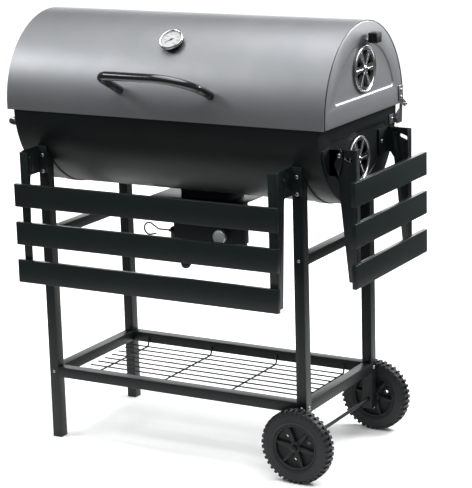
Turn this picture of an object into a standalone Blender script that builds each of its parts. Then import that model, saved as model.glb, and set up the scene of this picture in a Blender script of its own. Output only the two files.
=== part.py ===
"""Barrel charcoal grill on a four-legged cart with two wheels and two folding tables.

Metres, +Z up. X runs along the barrel, -Y is the front, +X is the end with the wheels.
"""
import math

import bmesh
import bpy
from mathutils import Matrix, Vector

# driving dimensions, in metres
LID_RADIUS = 0.1885
LID_CENTRE_Z = 0.7615
LID_BOTTOM_Z = 0.7505
LID_HALF = 0.3850
BARREL_RADIUS = 0.1860
BARREL_CENTRE_Z = 0.7520
BARREL_TOP_Z = 0.7570
BARREL_HALF = 0.3690
SHEET = 0.0015
PLATE = 0.0020
GAP = 0.0003
ARC_STEPS = 32

VENT_RADIUS = 0.0490
LID_VENT_Z = 0.8500
LOWER_VENT_Z = 0.6600
VENT_HOLES = 6

HINGE_Y = 0.1935
HINGE_Z = 0.7465

LEG = 0.0230
LEG_WALL = 0.0015
LEG_X = 0.3250
LEG_Y = 0.1680
WHEEL_LEG_BOTTOM = 0.0600
RAIL_TOP = 0.1660
RAIL_BOTTOM = 0.1430
CROSSBAR_TOP = 0.4840
CROSSBAR_BOTTOM = 0.4620

RACK_Z = 0.1370
RACK_HALF_X = 0.2970
RACK_HALF_Y = 0.1305
RACK_LONG_WIRES = 10
RACK_CROSS_X = (-0.2575, -0.0860, 0.0860, 0.2575)
RACK_WIRE = 0.0017

WHEEL_RADIUS = 0.0800
WHEEL_WIDTH = 0.0320
WHEEL_INNER_Y = 0.1735
HUB_RADIUS = 0.0500
AXLE_RADIUS = 0.0040
AXLE_X = LEG_X - LEG / 2

SLAT_HEIGHT = 0.0505
SLAT_DEPTH = 0.0100
FRONT_SLAT_Y = -0.2650
FRONT_SLAT_X = (-0.3245, 0.3165)
FRONT_SLAT_BOTTOMS = (0.5535, 0.4695, 0.3855)
FRONT_ARM_X = 0.3125
FRONT_PIVOT = (-0.2220, 0.6520)
SIDE_SLAT_X = 0.4410
SIDE_SLAT_Y = (-0.1600, 0.1910)
SIDE_SLAT_BOTTOMS = (0.5945, 0.5090, 0.4235)
SIDE_ARM_Y = 0.1345
SIDE_PIVOT = (0.3950, 0.6940)
PIN_RADIUS = 0.0035
PIN_HOLE = 0.0041

HANDLE_ANGLE = math.radians(18.6)
HANDLE_FOOT_ANGLE = math.radians(14.1)
HANDLE_OUT = 0.0928
HANDLE_X = (-0.0965, 0.1240)
HANDLE_BENDS = (0.0270, 0.0880)
HANDLE_TUBE = 0.0095
DIAL_X = 0.0050
DIAL_ANGLE = math.radians(48.5)
DIAL_RADIUS = 0.0272

ASH_PANEL_X = (-0.0570, 0.1200)
ASH_PANEL_Y = -0.0500
ASH_PANEL_Z = (0.4300, 0.5455)
ASH_BODY_X = (-0.0450, 0.0750)
ASH_BODY_Y = (-0.0360, 0.0500)
ASH_BODY_Z = (0.4400, 0.5480)
ASH_KNOB = (0.0685, 0.4785)
DAMPER_Y = -0.0200
DAMPER_Z = 0.4695
DAMPER_LOOP = 0.0135
DAMPER_REACH = 0.0695
DUCT_LEFT = -0.1180
LATCH = (-0.0410, -0.0300, 0.4000)

# the whole grill moves by this much, so that its box is centred on the origin
CENTRE_Y = 0.0305

for old in list(bpy.data.objects):
    bpy.data.objects.remove(old, do_unlink=True)

grill = bpy.data.collections.new("barrel_charcoal_grill")
cutters = bpy.data.collections.new("cutters")
bpy.context.scene.collection.children.link(grill)
bpy.context.scene.collection.children.link(cutters)

root = bpy.data.objects.new("grill_root", None)
root.location = (0.0, CENTRE_Y, 0.0)
grill.objects.link(root)


def principled(name, colour, roughness, metallic):
    material = bpy.data.materials.new(name)
    material.use_nodes = True
    shader = material.node_tree.nodes["Principled BSDF"]
    shader.inputs["Base Color"].default_value = (*colour, 1.0)
    shader.inputs["Roughness"].default_value = roughness
    shader.inputs["Metallic"].default_value = metallic
    return material


def black_paint(name):
    return principled(name, (0.020, 0.024, 0.025), 0.45, 0.0)


def graphite_paint(name):
    return principled(name, (0.085, 0.090, 0.095), 0.38, 0.4)


def chrome(name):
    return principled(name, (0.80, 0.80, 0.80), 0.15, 1.0)


def zinc(name):
    return principled(name, (0.62, 0.63, 0.65), 0.32, 1.0)


def black_plastic(name):
    return principled(name, (0.018, 0.019, 0.020), 0.55, 0.0)


def steel(name):
    return principled(name, (0.48, 0.49, 0.50), 0.35, 1.0)


def pivot_empty(name, place):
    """An empty on a joint's axis, which the moving pieces hang from."""
    empty = bpy.data.objects.new(name, None)
    empty.location = place
    empty.parent = root
    grill.objects.link(empty)
    return empty


def add(name, mesh, finish=None, parent=None, cutter=False):
    """Puts a mesh or curve, drawn in the grill's own frame, under its parent."""
    thing = bpy.data.objects.new(name, mesh)
    if cutter:
        cutters.objects.link(thing)
        thing.hide_render = True
        thing.display_type = "WIRE"
        thing.parent = root
        return thing
    grill.objects.link(thing)
    thing.parent = parent if parent else root
    if parent:
        thing.location = [-value for value in parent.location]
    mesh.materials.append(finish(name + "_finish"))
    return thing


def mesh_from(bm, name):
    bmesh.ops.recalc_face_normals(bm, faces=bm.faces)
    mesh = bpy.data.meshes.new(name)
    bm.to_mesh(mesh)
    bm.free()
    return mesh


def box_mesh(name, low, high):
    bm = bmesh.new()
    bmesh.ops.create_cube(bm, size=1.0)
    size = [b - a for a, b in zip(low, high)]
    centre = [(a + b) / 2 for a, b in zip(low, high)]
    bmesh.ops.scale(bm, vec=size, verts=bm.verts)
    bmesh.ops.translate(bm, vec=centre, verts=bm.verts)
    return mesh_from(bm, name)


def cylinder_mesh(name, centre, radius, length, axis, segments=24):
    """A cylinder about X, Y or Z with its middle at centre."""
    bm = bmesh.new()
    bmesh.ops.create_cone(bm, cap_ends=True, segments=segments, radius1=radius,
                          radius2=radius, depth=length)
    turn_to(bm, axis)
    bmesh.ops.translate(bm, vec=centre, verts=bm.verts)
    return mesh_from(bm, name)


def turn_to(bm, axis):
    """Turns a shape made about Z so that it is about X or Y."""
    if axis == "X":
        matrix = rotation(math.radians(90), "Y")
    elif axis == "Y":
        matrix = rotation(math.radians(-90), "X")
    else:
        return
    bmesh.ops.rotate(bm, cent=(0, 0, 0), matrix=matrix, verts=bm.verts)


def rotation(angle, axis):
    return Matrix.Rotation(angle, 3, axis)


def plane_matrix(plane, offset):
    """Places a flat outline: local x, y become the plane's two axes."""
    if plane == "YZ":
        return Matrix(((0, 0, 1, offset), (1, 0, 0, 0), (0, 1, 0, 0), (0, 0, 0, 1)))
    if plane == "XZ":
        return Matrix(((1, 0, 0, 0), (0, 0, -1, offset), (0, 1, 0, 0), (0, 0, 0, 1)))
    return Matrix.Translation((0, 0, offset))


def plate_mesh(name, loops, plane, low, high):
    """A flat sheet between two planes; the loops after the first are holes."""
    curve = bpy.data.curves.new(name, "CURVE")
    curve.dimensions = "2D"
    curve.fill_mode = "BOTH"
    curve.extrude = (high - low) / 2
    for loop in loops:
        spline = curve.splines.new("POLY")
        spline.points.add(len(loop) - 1)
        for point, (u, v) in zip(spline.points, loop):
            point.co = (u, v, 0.0, 1.0)
        spline.use_cyclic_u = True
    holder = bpy.data.objects.new(name, curve)
    bpy.context.scene.collection.objects.link(holder)
    bpy.context.view_layer.update()
    graph = bpy.context.evaluated_depsgraph_get()
    flat = bpy.data.meshes.new_from_object(holder.evaluated_get(graph))
    bpy.data.objects.remove(holder, do_unlink=True)
    bm = bmesh.new()
    bm.from_mesh(flat)
    bmesh.ops.remove_doubles(bm, verts=bm.verts, dist=0.00001)
    bmesh.ops.transform(bm, matrix=plane_matrix(plane, (low + high) / 2), verts=bm.verts)
    return mesh_from(bm, name)


def tube_mesh(name, points, radius, resolution=2):
    """A round tube or wire along points, with closed ends."""
    curve = bpy.data.curves.new(name, "CURVE")
    curve.dimensions = "3D"
    curve.bevel_depth = radius
    curve.bevel_resolution = resolution
    curve.use_fill_caps = True
    spline = curve.splines.new("POLY")
    spline.points.add(len(points) - 1)
    for point, place in zip(spline.points, points):
        point.co = (*place, 1.0)
    holder = bpy.data.objects.new(name, curve)
    bpy.context.scene.collection.objects.link(holder)
    bpy.context.view_layer.update()
    graph = bpy.context.evaluated_depsgraph_get()
    tube = bpy.data.meshes.new_from_object(holder.evaluated_get(graph))
    bpy.data.objects.remove(holder, do_unlink=True)
    bm = bmesh.new()
    bm.from_mesh(tube)
    bmesh.ops.remove_doubles(bm, verts=bm.verts, dist=0.00001)
    return mesh_from(bm, name)


def turned_mesh(name, profile, segments, axis, centre):
    """A ring or a wheel: a closed profile of (radius, height) turned about an axis."""
    bm = bmesh.new()
    ring = [bm.verts.new((radius, 0.0, height)) for radius, height in profile]
    edges = [bm.edges.new((ring[i], ring[(i + 1) % len(ring)])) for i in range(len(ring))]
    bmesh.ops.spin(bm, geom=ring + edges, cent=(0, 0, 0), axis=(0, 0, 1),
                   angle=math.radians(360), steps=segments, use_merge=True)
    bmesh.ops.remove_doubles(bm, verts=bm.verts, dist=0.00001)
    turn_to(bm, axis)
    bmesh.ops.translate(bm, vec=centre, verts=bm.verts)
    return mesh_from(bm, name)


def lathe(profile, segments):
    """A solid turned about Z from an open profile that starts and ends on the axis."""
    bm = bmesh.new()
    ring = [bm.verts.new((radius, 0.0, height)) for radius, height in profile]
    edges = [bm.edges.new(pair) for pair in zip(ring, ring[1:])]
    bmesh.ops.spin(bm, geom=ring + edges, cent=(0, 0, 0), axis=(0, 0, 1),
                   angle=math.radians(360), steps=segments, use_merge=True)
    bmesh.ops.remove_doubles(bm, verts=bm.verts, dist=0.00001)
    return bm


def joined(name, meshes):
    """Several closed shapes in one mesh, for use as one cutter or one half of a union."""
    bm = bmesh.new()
    for mesh in meshes:
        bm.from_mesh(mesh)
    return mesh_from(bm, name)


def combine(thing, mesh, operation):
    """Adds a Boolean modifier with its own hidden shape."""
    count = len(thing.modifiers) + 1
    other = add(f"{thing.name}_{operation.lower()}_{count}", mesh, cutter=True)
    modifier = thing.modifiers.new(operation.lower(), "BOOLEAN")
    modifier.operation = operation
    modifier.solver = "EXACT"
    modifier.object = other


def cut(thing, mesh):
    combine(thing, mesh, "DIFFERENCE")


def fuse(thing, mesh):
    combine(thing, mesh, "UNION")


def smooth(thing, angle=35.0):
    mesh = thing.data
    mesh.shade_smooth()
    mesh.set_sharp_from_angle(angle=math.radians(angle))


def arc(centre, radius, start, end, steps):
    """Points on a circle; angles in degrees, measured from local x."""
    points = []
    for i in range(steps + 1):
        angle = math.radians(start + (end - start) * i / steps)
        points.append((centre[0] + radius * math.cos(angle),
                       centre[1] + radius * math.sin(angle)))
    return points


def rounded_path(corners, radii, steps=6):
    """A path through 3D corners, each inner corner replaced with an arc of its own radius."""
    points = [Vector(corners[0])]
    for radius, before, corner, after in zip(radii, corners, corners[1:], corners[2:]):
        corner = Vector(corner)
        into = (corner - Vector(before)).normalized()
        out = (Vector(after) - corner).normalized()
        turn = into.angle(out)
        reach = radius * math.tan(turn / 2)
        start = corner - into * reach
        inward = (out - into * into.dot(out)).normalized()
        centre = start + inward * radius
        for i in range(steps + 1):
            step = turn * i / steps
            points.append(centre + into * radius * math.sin(step)
                          - inward * radius * math.cos(step))
    points.append(Vector(corners[-1]))
    return points


# ---- lid -------------------------------------------------------------------------------

lid_axis = pivot_empty("lid_axis", (0.0, HINGE_Y, HINGE_Z))


def lid_outline(radius):
    """Arch with short upright sides, from the front bottom edge over to the rear one."""
    points = [(-radius, LID_BOTTOM_Z)]
    points += arc((0.0, LID_CENTRE_Z), radius, 180.0, 0.0, ARC_STEPS)
    points.append((radius, LID_BOTTOM_Z))
    return points


def lid_point(angle, radius):
    """A point on the front half of the lid, angle up from level."""
    return (-radius * math.cos(angle), LID_CENTRE_Z + radius * math.sin(angle))


def lid_shell():
    outer = lid_outline(LID_RADIUS)
    inner = lid_outline(LID_RADIUS - SHEET)
    mesh = plate_mesh("lid_shell", [outer + inner[::-1]], "YZ", -LID_HALF, LID_HALF)
    thing = add("lid_shell", mesh, graphite_paint, lid_axis)
    smooth(thing)
    y, z = lid_point(DIAL_ANGLE, LID_RADIUS)
    bm = bmesh.new()
    bmesh.ops.create_cone(bm, cap_ends=True, segments=16, radius1=0.0050,
                          radius2=0.0050, depth=0.02)
    aim_out(bm, DIAL_ANGLE, (DIAL_X, y, z))
    cut(thing, mesh_from(bm, "dial_hole"))


def aim_out(bm, angle, place):
    """Turns a shape made about Z to point straight out of the lid, then moves it."""
    bmesh.ops.rotate(bm, cent=(0, 0, 0), matrix=rotation(math.radians(90) - angle, "X"),
                     verts=bm.verts)
    bmesh.ops.translate(bm, vec=place, verts=bm.verts)


def sector_holes(centre, inner, outer, spread, count, steps=2):
    """The pie-shaped holes of a vent, as flat loops about centre."""
    loops = []
    for i in range(count):
        middle = 90.0 + 360.0 * i / count
        loop = arc(centre, outer, middle - spread, middle + spread, steps)
        loop += arc(centre, inner, middle + spread, middle - spread, 1)
        loops.append(loop)
    return loops


def lid_end_plate(name, side):
    holes = []
    if side > 0:
        holes = sector_holes((0.0, LID_VENT_Z), 0.014, 0.038, 17.0, VENT_HOLES)
    low, high = sorted((side * (LID_HALF + GAP), side * (LID_HALF + GAP + PLATE)))
    mesh = plate_mesh(name, [lid_outline(LID_RADIUS)] + holes, "YZ", low, high)
    add(name, mesh, graphite_paint, lid_axis)


def lid_handle():
    """Bent tube whose two ends are cut to sit on the lid."""
    y0, z0 = lid_point(HANDLE_FOOT_ANGLE, LID_RADIUS - HANDLE_TUBE / 2)
    y1, z1 = lid_point(HANDLE_ANGLE, LID_RADIUS + HANDLE_OUT)
    left, right = HANDLE_X
    corners = [(left, y0, z0), (left, y1, z1), (right, y1, z1), (right, y0, z0)]
    mesh = tube_mesh("lid_handle", rounded_path(corners, HANDLE_BENDS, 6), HANDLE_TUBE, 3)
    thing = add("lid_handle", mesh, black_paint, lid_axis)
    smooth(thing, 60.0)
    cut(thing, plate_mesh("lid_cutter", [lid_outline(LID_RADIUS + GAP)], "YZ",
                          left - 2 * HANDLE_TUBE, right + 2 * HANDLE_TUBE))


def thermometer():
    """Black cup with a probe through the lid, and a dial in a bright bezel on it."""
    y, z = lid_point(DIAL_ANGLE, LID_RADIUS + 0.0006)
    cup = lathe([(0.0, -0.0600), (0.0035, -0.0580), (0.0035, 0.0), (0.0215, 0.0),
                 (0.0240, 0.0030), (0.0240, 0.0085), (0.0, 0.0085)], 20)
    aim_out(cup, DIAL_ANGLE, (DIAL_X, y, z))
    smooth(add("thermometer_body", mesh_from(cup, "cup"), black_plastic, lid_axis))
    edge = DIAL_RADIUS
    dial = lathe([(0.0, 0.0088), (edge - 0.002, 0.0088), (edge, 0.0105), (edge, 0.0135),
                  (edge - 0.002, 0.0152), (edge - 0.004, 0.0152), (edge - 0.0045, 0.0130),
                  (0.0, 0.0130)], 28)
    aim_out(dial, DIAL_ANGLE, (DIAL_X, y, z))
    smooth(add("thermometer_dial", mesh_from(dial, "dial"), chrome, lid_axis))


def hinge_upper(name, side):
    """Strap on the lid's end plate, with an eye around the hinge pin."""
    face = LID_HALF + GAP + PLATE + GAP
    low, high = sorted((side * face, side * (face + PLATE)))
    outline = [(0.1620, 0.7900), (0.1620, 0.7560), (0.1850, 0.7440)]
    outline += arc((HINGE_Y, HINGE_Z), 0.0060, -150.0, 60.0, 10)
    outline += [(0.1830, 0.7600), (0.1830, 0.7900)]
    hole = arc((HINGE_Y, HINGE_Z), 0.0029, 0.0, 330.0, 11)
    add(name, plate_mesh(name, [outline, hole], "YZ", low, high), zinc, lid_axis)


def vent_disc(name, centre_z, face_x, parent):
    """Turning disc of a vent: raised rim, centre rivet and pie-shaped holes."""
    edge = VENT_RADIUS
    disc = lathe([(0.0, 0.0), (edge, 0.0), (edge, 0.0025), (edge - 0.0022, 0.0038),
                  (edge - 0.0045, 0.0015), (0.0065, 0.0015), (0.0065, 0.0045),
                  (0.0, 0.0045)], 32)
    turn_to(disc, "X")
    bmesh.ops.translate(disc, vec=(face_x + GAP, 0.0, centre_z), verts=disc.verts)
    thing = add(name, mesh_from(disc, name), black_paint, parent)
    holes = sector_holes((0.0, centre_z), 0.014, 0.038, 17.0, VENT_HOLES)
    cut(thing, joined(name, [plate_mesh(name, [hole], "YZ", face_x - 0.005, face_x + 0.010)
                             for hole in holes]))
    smooth(thing)
    return thing


lid_shell()
lid_end_plate("lid_end_plate_left", -1)
lid_end_plate("lid_end_plate_right", 1)
lid_handle()
thermometer()
hinge_upper("hinge_upper_left", -1)
hinge_upper("hinge_upper_right", 1)

LID_VENT_FACE = LID_HALF + GAP + PLATE
lid_vent_axis = pivot_empty("lid_vent_axis", (LID_VENT_FACE, 0.0, LID_VENT_Z))
lid_vent = vent_disc("lid_vent_disc", LID_VENT_Z, LID_VENT_FACE, lid_vent_axis)
tab_face = LID_VENT_FACE + GAP + 0.0001
tab = [(tab_face, LID_VENT_Z + 0.042), (tab_face + 0.0018, LID_VENT_Z + 0.042),
       (tab_face + 0.0018, LID_VENT_Z + 0.058), (LID_VENT_FACE + 0.010, LID_VENT_Z + 0.058),
       (LID_VENT_FACE + 0.010, LID_VENT_Z + 0.062), (tab_face, LID_VENT_Z + 0.062)]
fuse(lid_vent, plate_mesh("lid_vent_tab", [tab], "XZ", 0.0065, 0.0175))
grip = box_mesh("lid_vent_grip", (LID_VENT_FACE + 0.0085, 0.0005, LID_VENT_Z + 0.0535),
                (LID_VENT_FACE + 0.0285, 0.0235, LID_VENT_Z + 0.0745))
grip_object = add("lid_vent_grip", grip, black_plastic, lid_vent_axis)
cut(grip_object, box_mesh("grip_socket", (LID_VENT_FACE + 0.0080, 0.0062, LID_VENT_Z + 0.0577),
                          (LID_VENT_FACE + 0.0103, 0.0178, LID_VENT_Z + 0.0623)))

# ---- barrel ----------------------------------------------------------------------------


def barrel_outline(radius):
    """Lower half of the barrel, from the rear rim down and round to the front one."""
    points = [(radius, BARREL_TOP_Z)]
    points += arc((0.0, BARREL_CENTRE_Z), radius, 0.0, -180.0, ARC_STEPS)
    points.append((-radius, BARREL_TOP_Z))
    return points


def barrel_shell():
    outer = barrel_outline(BARREL_RADIUS)
    inner = barrel_outline(BARREL_RADIUS - SHEET)
    mesh = plate_mesh("barrel_shell", [outer + inner[::-1]], "YZ", -BARREL_HALF, BARREL_HALF)
    thing = add("barrel_shell", mesh, black_paint)
    smooth(thing)
    cut(thing, box_mesh("ash_slot", (ASH_BODY_X[0] + 0.004, -0.030, 0.55),
                        (ASH_BODY_X[1] - 0.004, 0.030, 0.60)))


def barrel_end_plate(name, side):
    holes = []
    if side > 0:
        holes = sector_holes((0.0, LOWER_VENT_Z), 0.014, 0.038, 17.0, VENT_HOLES)
    low, high = sorted((side * (BARREL_HALF + GAP), side * (BARREL_HALF + GAP + PLATE)))
    mesh = plate_mesh(name, [barrel_outline(BARREL_RADIUS)] + holes, "YZ", low, high)
    add(name, mesh, black_paint)


def saddle_strap(name, side):
    """Bent flat bar under the barrel, from the front leg to the rear one."""
    inner = BARREL_RADIUS + GAP
    reach = math.degrees(math.asin((LEG_Y - LEG - GAP - 0.001) / (inner + PLATE)))
    centre = (0.0, BARREL_CENTRE_Z)
    outline = arc(centre, inner, 270.0 - reach, 270.0 + reach, 22)
    outline += arc(centre, inner + PLATE, 270.0 + reach, 270.0 - reach, 22)
    low, high = sorted((side * (LEG_X - 0.001), side * (LEG_X - LEG + 0.001)))
    add(name, plate_mesh(name, [outline], "YZ", low, high), black_paint)


def hinge_lower(name, side):
    """Strap on the barrel's end plate: foot, standing web, and the hinge pin."""
    face = BARREL_HALF + GAP + PLATE + GAP
    low, high = sorted((side * (face + 0.0070), side * (face + 0.0070 + PLATE)))
    outline = [(0.1700, 0.7060), (0.1960, 0.7060)]
    outline += arc((HINGE_Y, HINGE_Z), 0.0055, -20.0, 150.0, 8)
    outline += [(0.1860, 0.7380), (0.1700, 0.7300)]
    mesh = plate_mesh(name, [outline], "YZ", low, high)
    thing = add(name, mesh, zinc)
    low, high = sorted((side * face, side * (face + PLATE)))
    foot = box_mesh(name, (low, 0.1480, 0.7080), (high, 0.1720, 0.7280))
    fuse(thing, foot)
    low, high = sorted((side * (face + 0.0001), side * (face + 0.0089)))
    fuse(thing, box_mesh(name, (low, 0.1702, 0.7080), (high, 0.1722, 0.7280)))
    start = face + 0.0075
    end = LID_HALF + 0.0085
    pin = cylinder_mesh(name, (side * (start + end) / 2, HINGE_Y, HINGE_Z), 0.0024,
                        end - start, "X", 12)
    fuse(thing, pin)


def carry_handle():
    face = BARREL_HALF + GAP + PLATE + GAP
    corners = [(-face, -0.130, 0.710), (-0.4345, -0.130, 0.710),
               (-0.4345, 0.130, 0.710), (-face, 0.130, 0.710)]
    mesh = tube_mesh("carry_handle", rounded_path(corners, (0.030, 0.030), 4), 0.0065, 2)
    smooth(add("carry_handle", mesh, steel), 60.0)


def bar_grate(name, x_low, x_high, half, z, bars, thickness):
    """A flat bar grate as one stamped piece: a frame with long slots."""
    loops = [[(x_low, -half), (x_high, -half), (x_high, half), (x_low, half)]]
    frame = 0.006
    pitch = (x_high - x_low - frame) / bars
    for i in range(bars):
        left = x_low + frame + pitch * i
        right = left + pitch - frame
        loops.append([(left, -half + frame), (right, -half + frame),
                      (right, half - frame), (left, half - frame)])
    add(name, plate_mesh(name, loops, "XY", z, z + thickness), steel)


barrel_shell()
barrel_end_plate("barrel_end_plate_left", -1)
barrel_end_plate("barrel_end_plate_right", 1)
saddle_strap("saddle_strap_left", -1)
saddle_strap("saddle_strap_right", 1)
hinge_lower("hinge_lower_left", -1)
hinge_lower("hinge_lower_right", 1)
carry_handle()
bar_grate("cooking_grate_left", -0.366, -0.003, 0.1825, 0.7340, 16, 0.0040)
bar_grate("cooking_grate_right", 0.003, 0.366, 0.1825, 0.7340, 16, 0.0040)
bar_grate("charcoal_grate", -0.350, 0.350, 0.1200, 0.6180, 22, 0.0030)

LOWER_VENT_FACE = BARREL_HALF + GAP + PLATE
lower_vent_axis = pivot_empty("lower_vent_axis", (LOWER_VENT_FACE, 0.0, LOWER_VENT_Z))
vent_disc("lower_vent_disc", LOWER_VENT_Z, LOWER_VENT_FACE, lower_vent_axis)

# ---- cart ------------------------------------------------------------------------------


def barrel_cutter(name):
    return cylinder_mesh(name, (0.0, 0.0, BARREL_CENTRE_Z), BARREL_RADIUS + GAP, 0.9, "X", 64)


def square_tube(name, low, high, wall, open_axis):
    """A square tube, open at both ends along one axis."""
    thing = add(name, box_mesh(name, low, high), black_paint)
    index = "XYZ".index(open_axis)
    inner_low = [value + wall for value in low]
    inner_high = [value - wall for value in high]
    inner_low[index] = low[index] - 0.01
    inner_high[index] = high[index] + 0.01
    cut(thing, box_mesh(name, inner_low, inner_high))
    return thing


def leg(name, x_side, y_side):
    bottom = WHEEL_LEG_BOTTOM if x_side > 0 else 0.0
    x_low, x_high = sorted((x_side * LEG_X, x_side * (LEG_X - LEG)))
    y_low, y_high = sorted((y_side * LEG_Y, y_side * (LEG_Y - LEG)))
    thing = square_tube(name, (x_low, y_low, bottom), (x_high, y_high, 0.700), LEG_WALL, "Z")
    cut(thing, barrel_cutter(name))
    if x_side > 0:
        cut(thing, cylinder_mesh(name, (AXLE_X, y_side * LEG_Y, WHEEL_RADIUS),
                                 AXLE_RADIUS + GAP, 0.08, "Y", 16))


def rail(name, y_side):
    y_low, y_high = sorted((y_side * LEG_Y, y_side * (LEG_Y - LEG)))
    end = LEG_X - LEG - GAP
    square_tube(name, (-end, y_low, RAIL_BOTTOM), (end, y_high, RAIL_TOP), LEG_WALL, "X")


def crossbar(name, x_side, bottom, top):
    x_low, x_high = sorted((x_side * LEG_X, x_side * (LEG_X - LEG)))
    end = LEG_Y - LEG - GAP
    square_tube(name, (x_low, -end, bottom), (x_high, end, top), LEG_WALL, "Y")


def wire_rack():
    """Long wires on top of four cross wires whose ends turn up beside the rails."""
    wires = []
    for i in range(RACK_LONG_WIRES):
        y = -RACK_HALF_Y + 2 * RACK_HALF_Y * i / (RACK_LONG_WIRES - 1)
        wires.append(cylinder_mesh("wire", (0.0, y, RACK_Z), RACK_WIRE, 2 * RACK_HALF_X,
                                   "X", 6))
    thing = add("wire_rack", joined("wire_rack", wires), black_paint)
    crossing = []
    edge = LEG_Y - LEG - GAP - 0.0022
    low = RACK_Z - 0.0026
    for x in RACK_CROSS_X:
        corners = [(x, -edge, 0.156), (x, -edge, low), (x, edge, low), (x, edge, 0.156)]
        crossing.append(tube_mesh("cross", rounded_path(corners, (0.008, 0.008), 2), 0.0020, 1))
    fuse(thing, joined("wire_rack", crossing))


def axle():
    """Rod through both right-hand legs, with a hexagon nut at each end."""
    half = WHEEL_INNER_Y + WHEEL_WIDTH + 0.0095
    mesh = cylinder_mesh("axle", (AXLE_X, 0.0, WHEEL_RADIUS), AXLE_RADIUS, 2 * half, "Y", 16)
    thing = add("axle", mesh, zinc)
    nut_y = WHEEL_INNER_Y + WHEEL_WIDTH + 0.0040
    nuts = [cylinder_mesh("nut", (AXLE_X, side * nut_y, WHEEL_RADIUS), 0.0075, 0.0065,
                          "Y", 6) for side in (-1, 1)]
    fuse(thing, joined("axle", nuts))


def tyre_profile(y_low):
    """Closed section of a tyre: (radius, place along the axle)."""
    high = y_low + WHEEL_WIDTH
    inner = HUB_RADIUS + GAP
    return [(inner, y_low + 0.002), (0.066, y_low), (0.0760, y_low + 0.002),
            (WHEEL_RADIUS, y_low + 0.007), (WHEEL_RADIUS, high - 0.007),
            (0.0760, high - 0.002), (0.066, high), (inner, high - 0.002)]


def hub_profile(y_low):
    high = y_low + WHEEL_WIDTH
    bore = AXLE_RADIUS + 0.0005
    return [(bore, y_low + 0.001), (0.0120, y_low + 0.001), (0.0130, y_low + 0.011),
            (0.0445, y_low + 0.011), (0.0455, y_low + 0.003), (HUB_RADIUS, y_low + 0.003),
            (HUB_RADIUS, high - 0.003), (0.0455, high - 0.003), (0.0445, high - 0.011),
            (0.0130, high - 0.011), (0.0120, high - 0.001), (bore, high - 0.001)]


def wheel(word, side):
    low = WHEEL_INNER_Y if side > 0 else -WHEEL_INNER_Y - WHEEL_WIDTH
    axis = pivot_empty("wheel_" + word + "_axis", (AXLE_X, low, WHEEL_RADIUS))
    centre = (AXLE_X, 0.0, WHEEL_RADIUS)
    tyre = add("tyre_" + word, turned_mesh("tyre", tyre_profile(low), 36, "Y", centre),
               black_plastic, axis)
    smooth(tyre, 50.0)
    hub = add("hub_" + word, turned_mesh("hub", hub_profile(low), 24, "Y", centre),
              black_plastic, axis)
    smooth(hub, 40.0)
    holes = []
    for i in range(5):
        angle = math.radians(90 + 72 * i)
        place = (AXLE_X + 0.030 * math.cos(angle), low + WHEEL_WIDTH / 2,
                 WHEEL_RADIUS + 0.030 * math.sin(angle))
        holes.append(cylinder_mesh("hole", place, 0.0060, 0.05, "Y", 8))
    cut(hub, joined("hub_holes", holes))


leg("leg_front_left", -1, -1)
leg("leg_rear_left", -1, 1)
leg("leg_front_right", 1, -1)
leg("leg_rear_right", 1, 1)
rail("rail_front", -1)
rail("rail_rear", 1)
crossbar("lower_crossbar_left", -1, RAIL_BOTTOM, RAIL_TOP)
crossbar("lower_crossbar_right", 1, RAIL_BOTTOM, RAIL_TOP)
crossbar("upper_crossbar_left", -1, CROSSBAR_BOTTOM, CROSSBAR_TOP)
crossbar("upper_crossbar_right", 1, CROSSBAR_BOTTOM, CROSSBAR_TOP)
wire_rack()
axle()
wheel("front", -1)
wheel("rear", 1)

# ---- tables ----------------------------------------------------------------------------


def slat(name, low, high, back, parent):
    """Folded sheet slat, open at the back; back is the axis and sign of its open side."""
    thing = add(name, box_mesh(name, low, high), black_paint, parent)
    wall = 0.0012
    inner_low = [value + wall for value in low]
    inner_high = [value - wall for value in high]
    axis, sign = back
    if sign > 0:
        inner_high[axis] = high[axis] + 0.01
    else:
        inner_low[axis] = low[axis] - 0.01
    cut(thing, box_mesh(name, inner_low, inner_high))


def front_bracket(name, x_side):
    """Angle bolted to the leg's front face; its web stands forward at the left edge."""
    left = -LEG_X if x_side < 0 else LEG_X - LEG
    face = -LEG_Y - GAP
    pivot_y, pivot_z = FRONT_PIVOT
    web = [(face, 0.6110), (face, 0.6700), (-0.2290, 0.6700), (-0.2345, 0.6640),
           (-0.2345, 0.6480), (-0.2140, 0.6110)]
    hole = arc((-0.2070, 0.6180), 0.0022, 0.0, 315.0, 7)
    mesh = plate_mesh(name, [web, hole], "YZ", left, left + PLATE)
    thing = add(name, mesh, black_paint)
    fuse(thing, box_mesh(name, (left + 0.0002, face - PLATE, 0.6110),
                         (left + LEG, face, 0.6700)))
    arm = FRONT_ARM_X if x_side > 0 else -FRONT_ARM_X + PLATE
    start = left + 0.0003
    end = arm + 0.0022
    pin = cylinder_mesh(name, ((start + end) / 2, pivot_y, pivot_z), PIN_RADIUS,
                        end - start, "X", 12)
    fuse(thing, pin)
    collar = cylinder_mesh(name, ((left + PLATE + arm - PLATE) / 2, pivot_y, pivot_z), 0.0060,
                           arm - PLATE - left - PLATE - 0.0006 + 0.0010, "X", 12)
    bmesh_shift(collar, (-0.0007, 0.0, 0.0))
    fuse(thing, collar)


def bmesh_shift(mesh, offset):
    mesh.transform(Matrix.Translation(offset))


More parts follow.
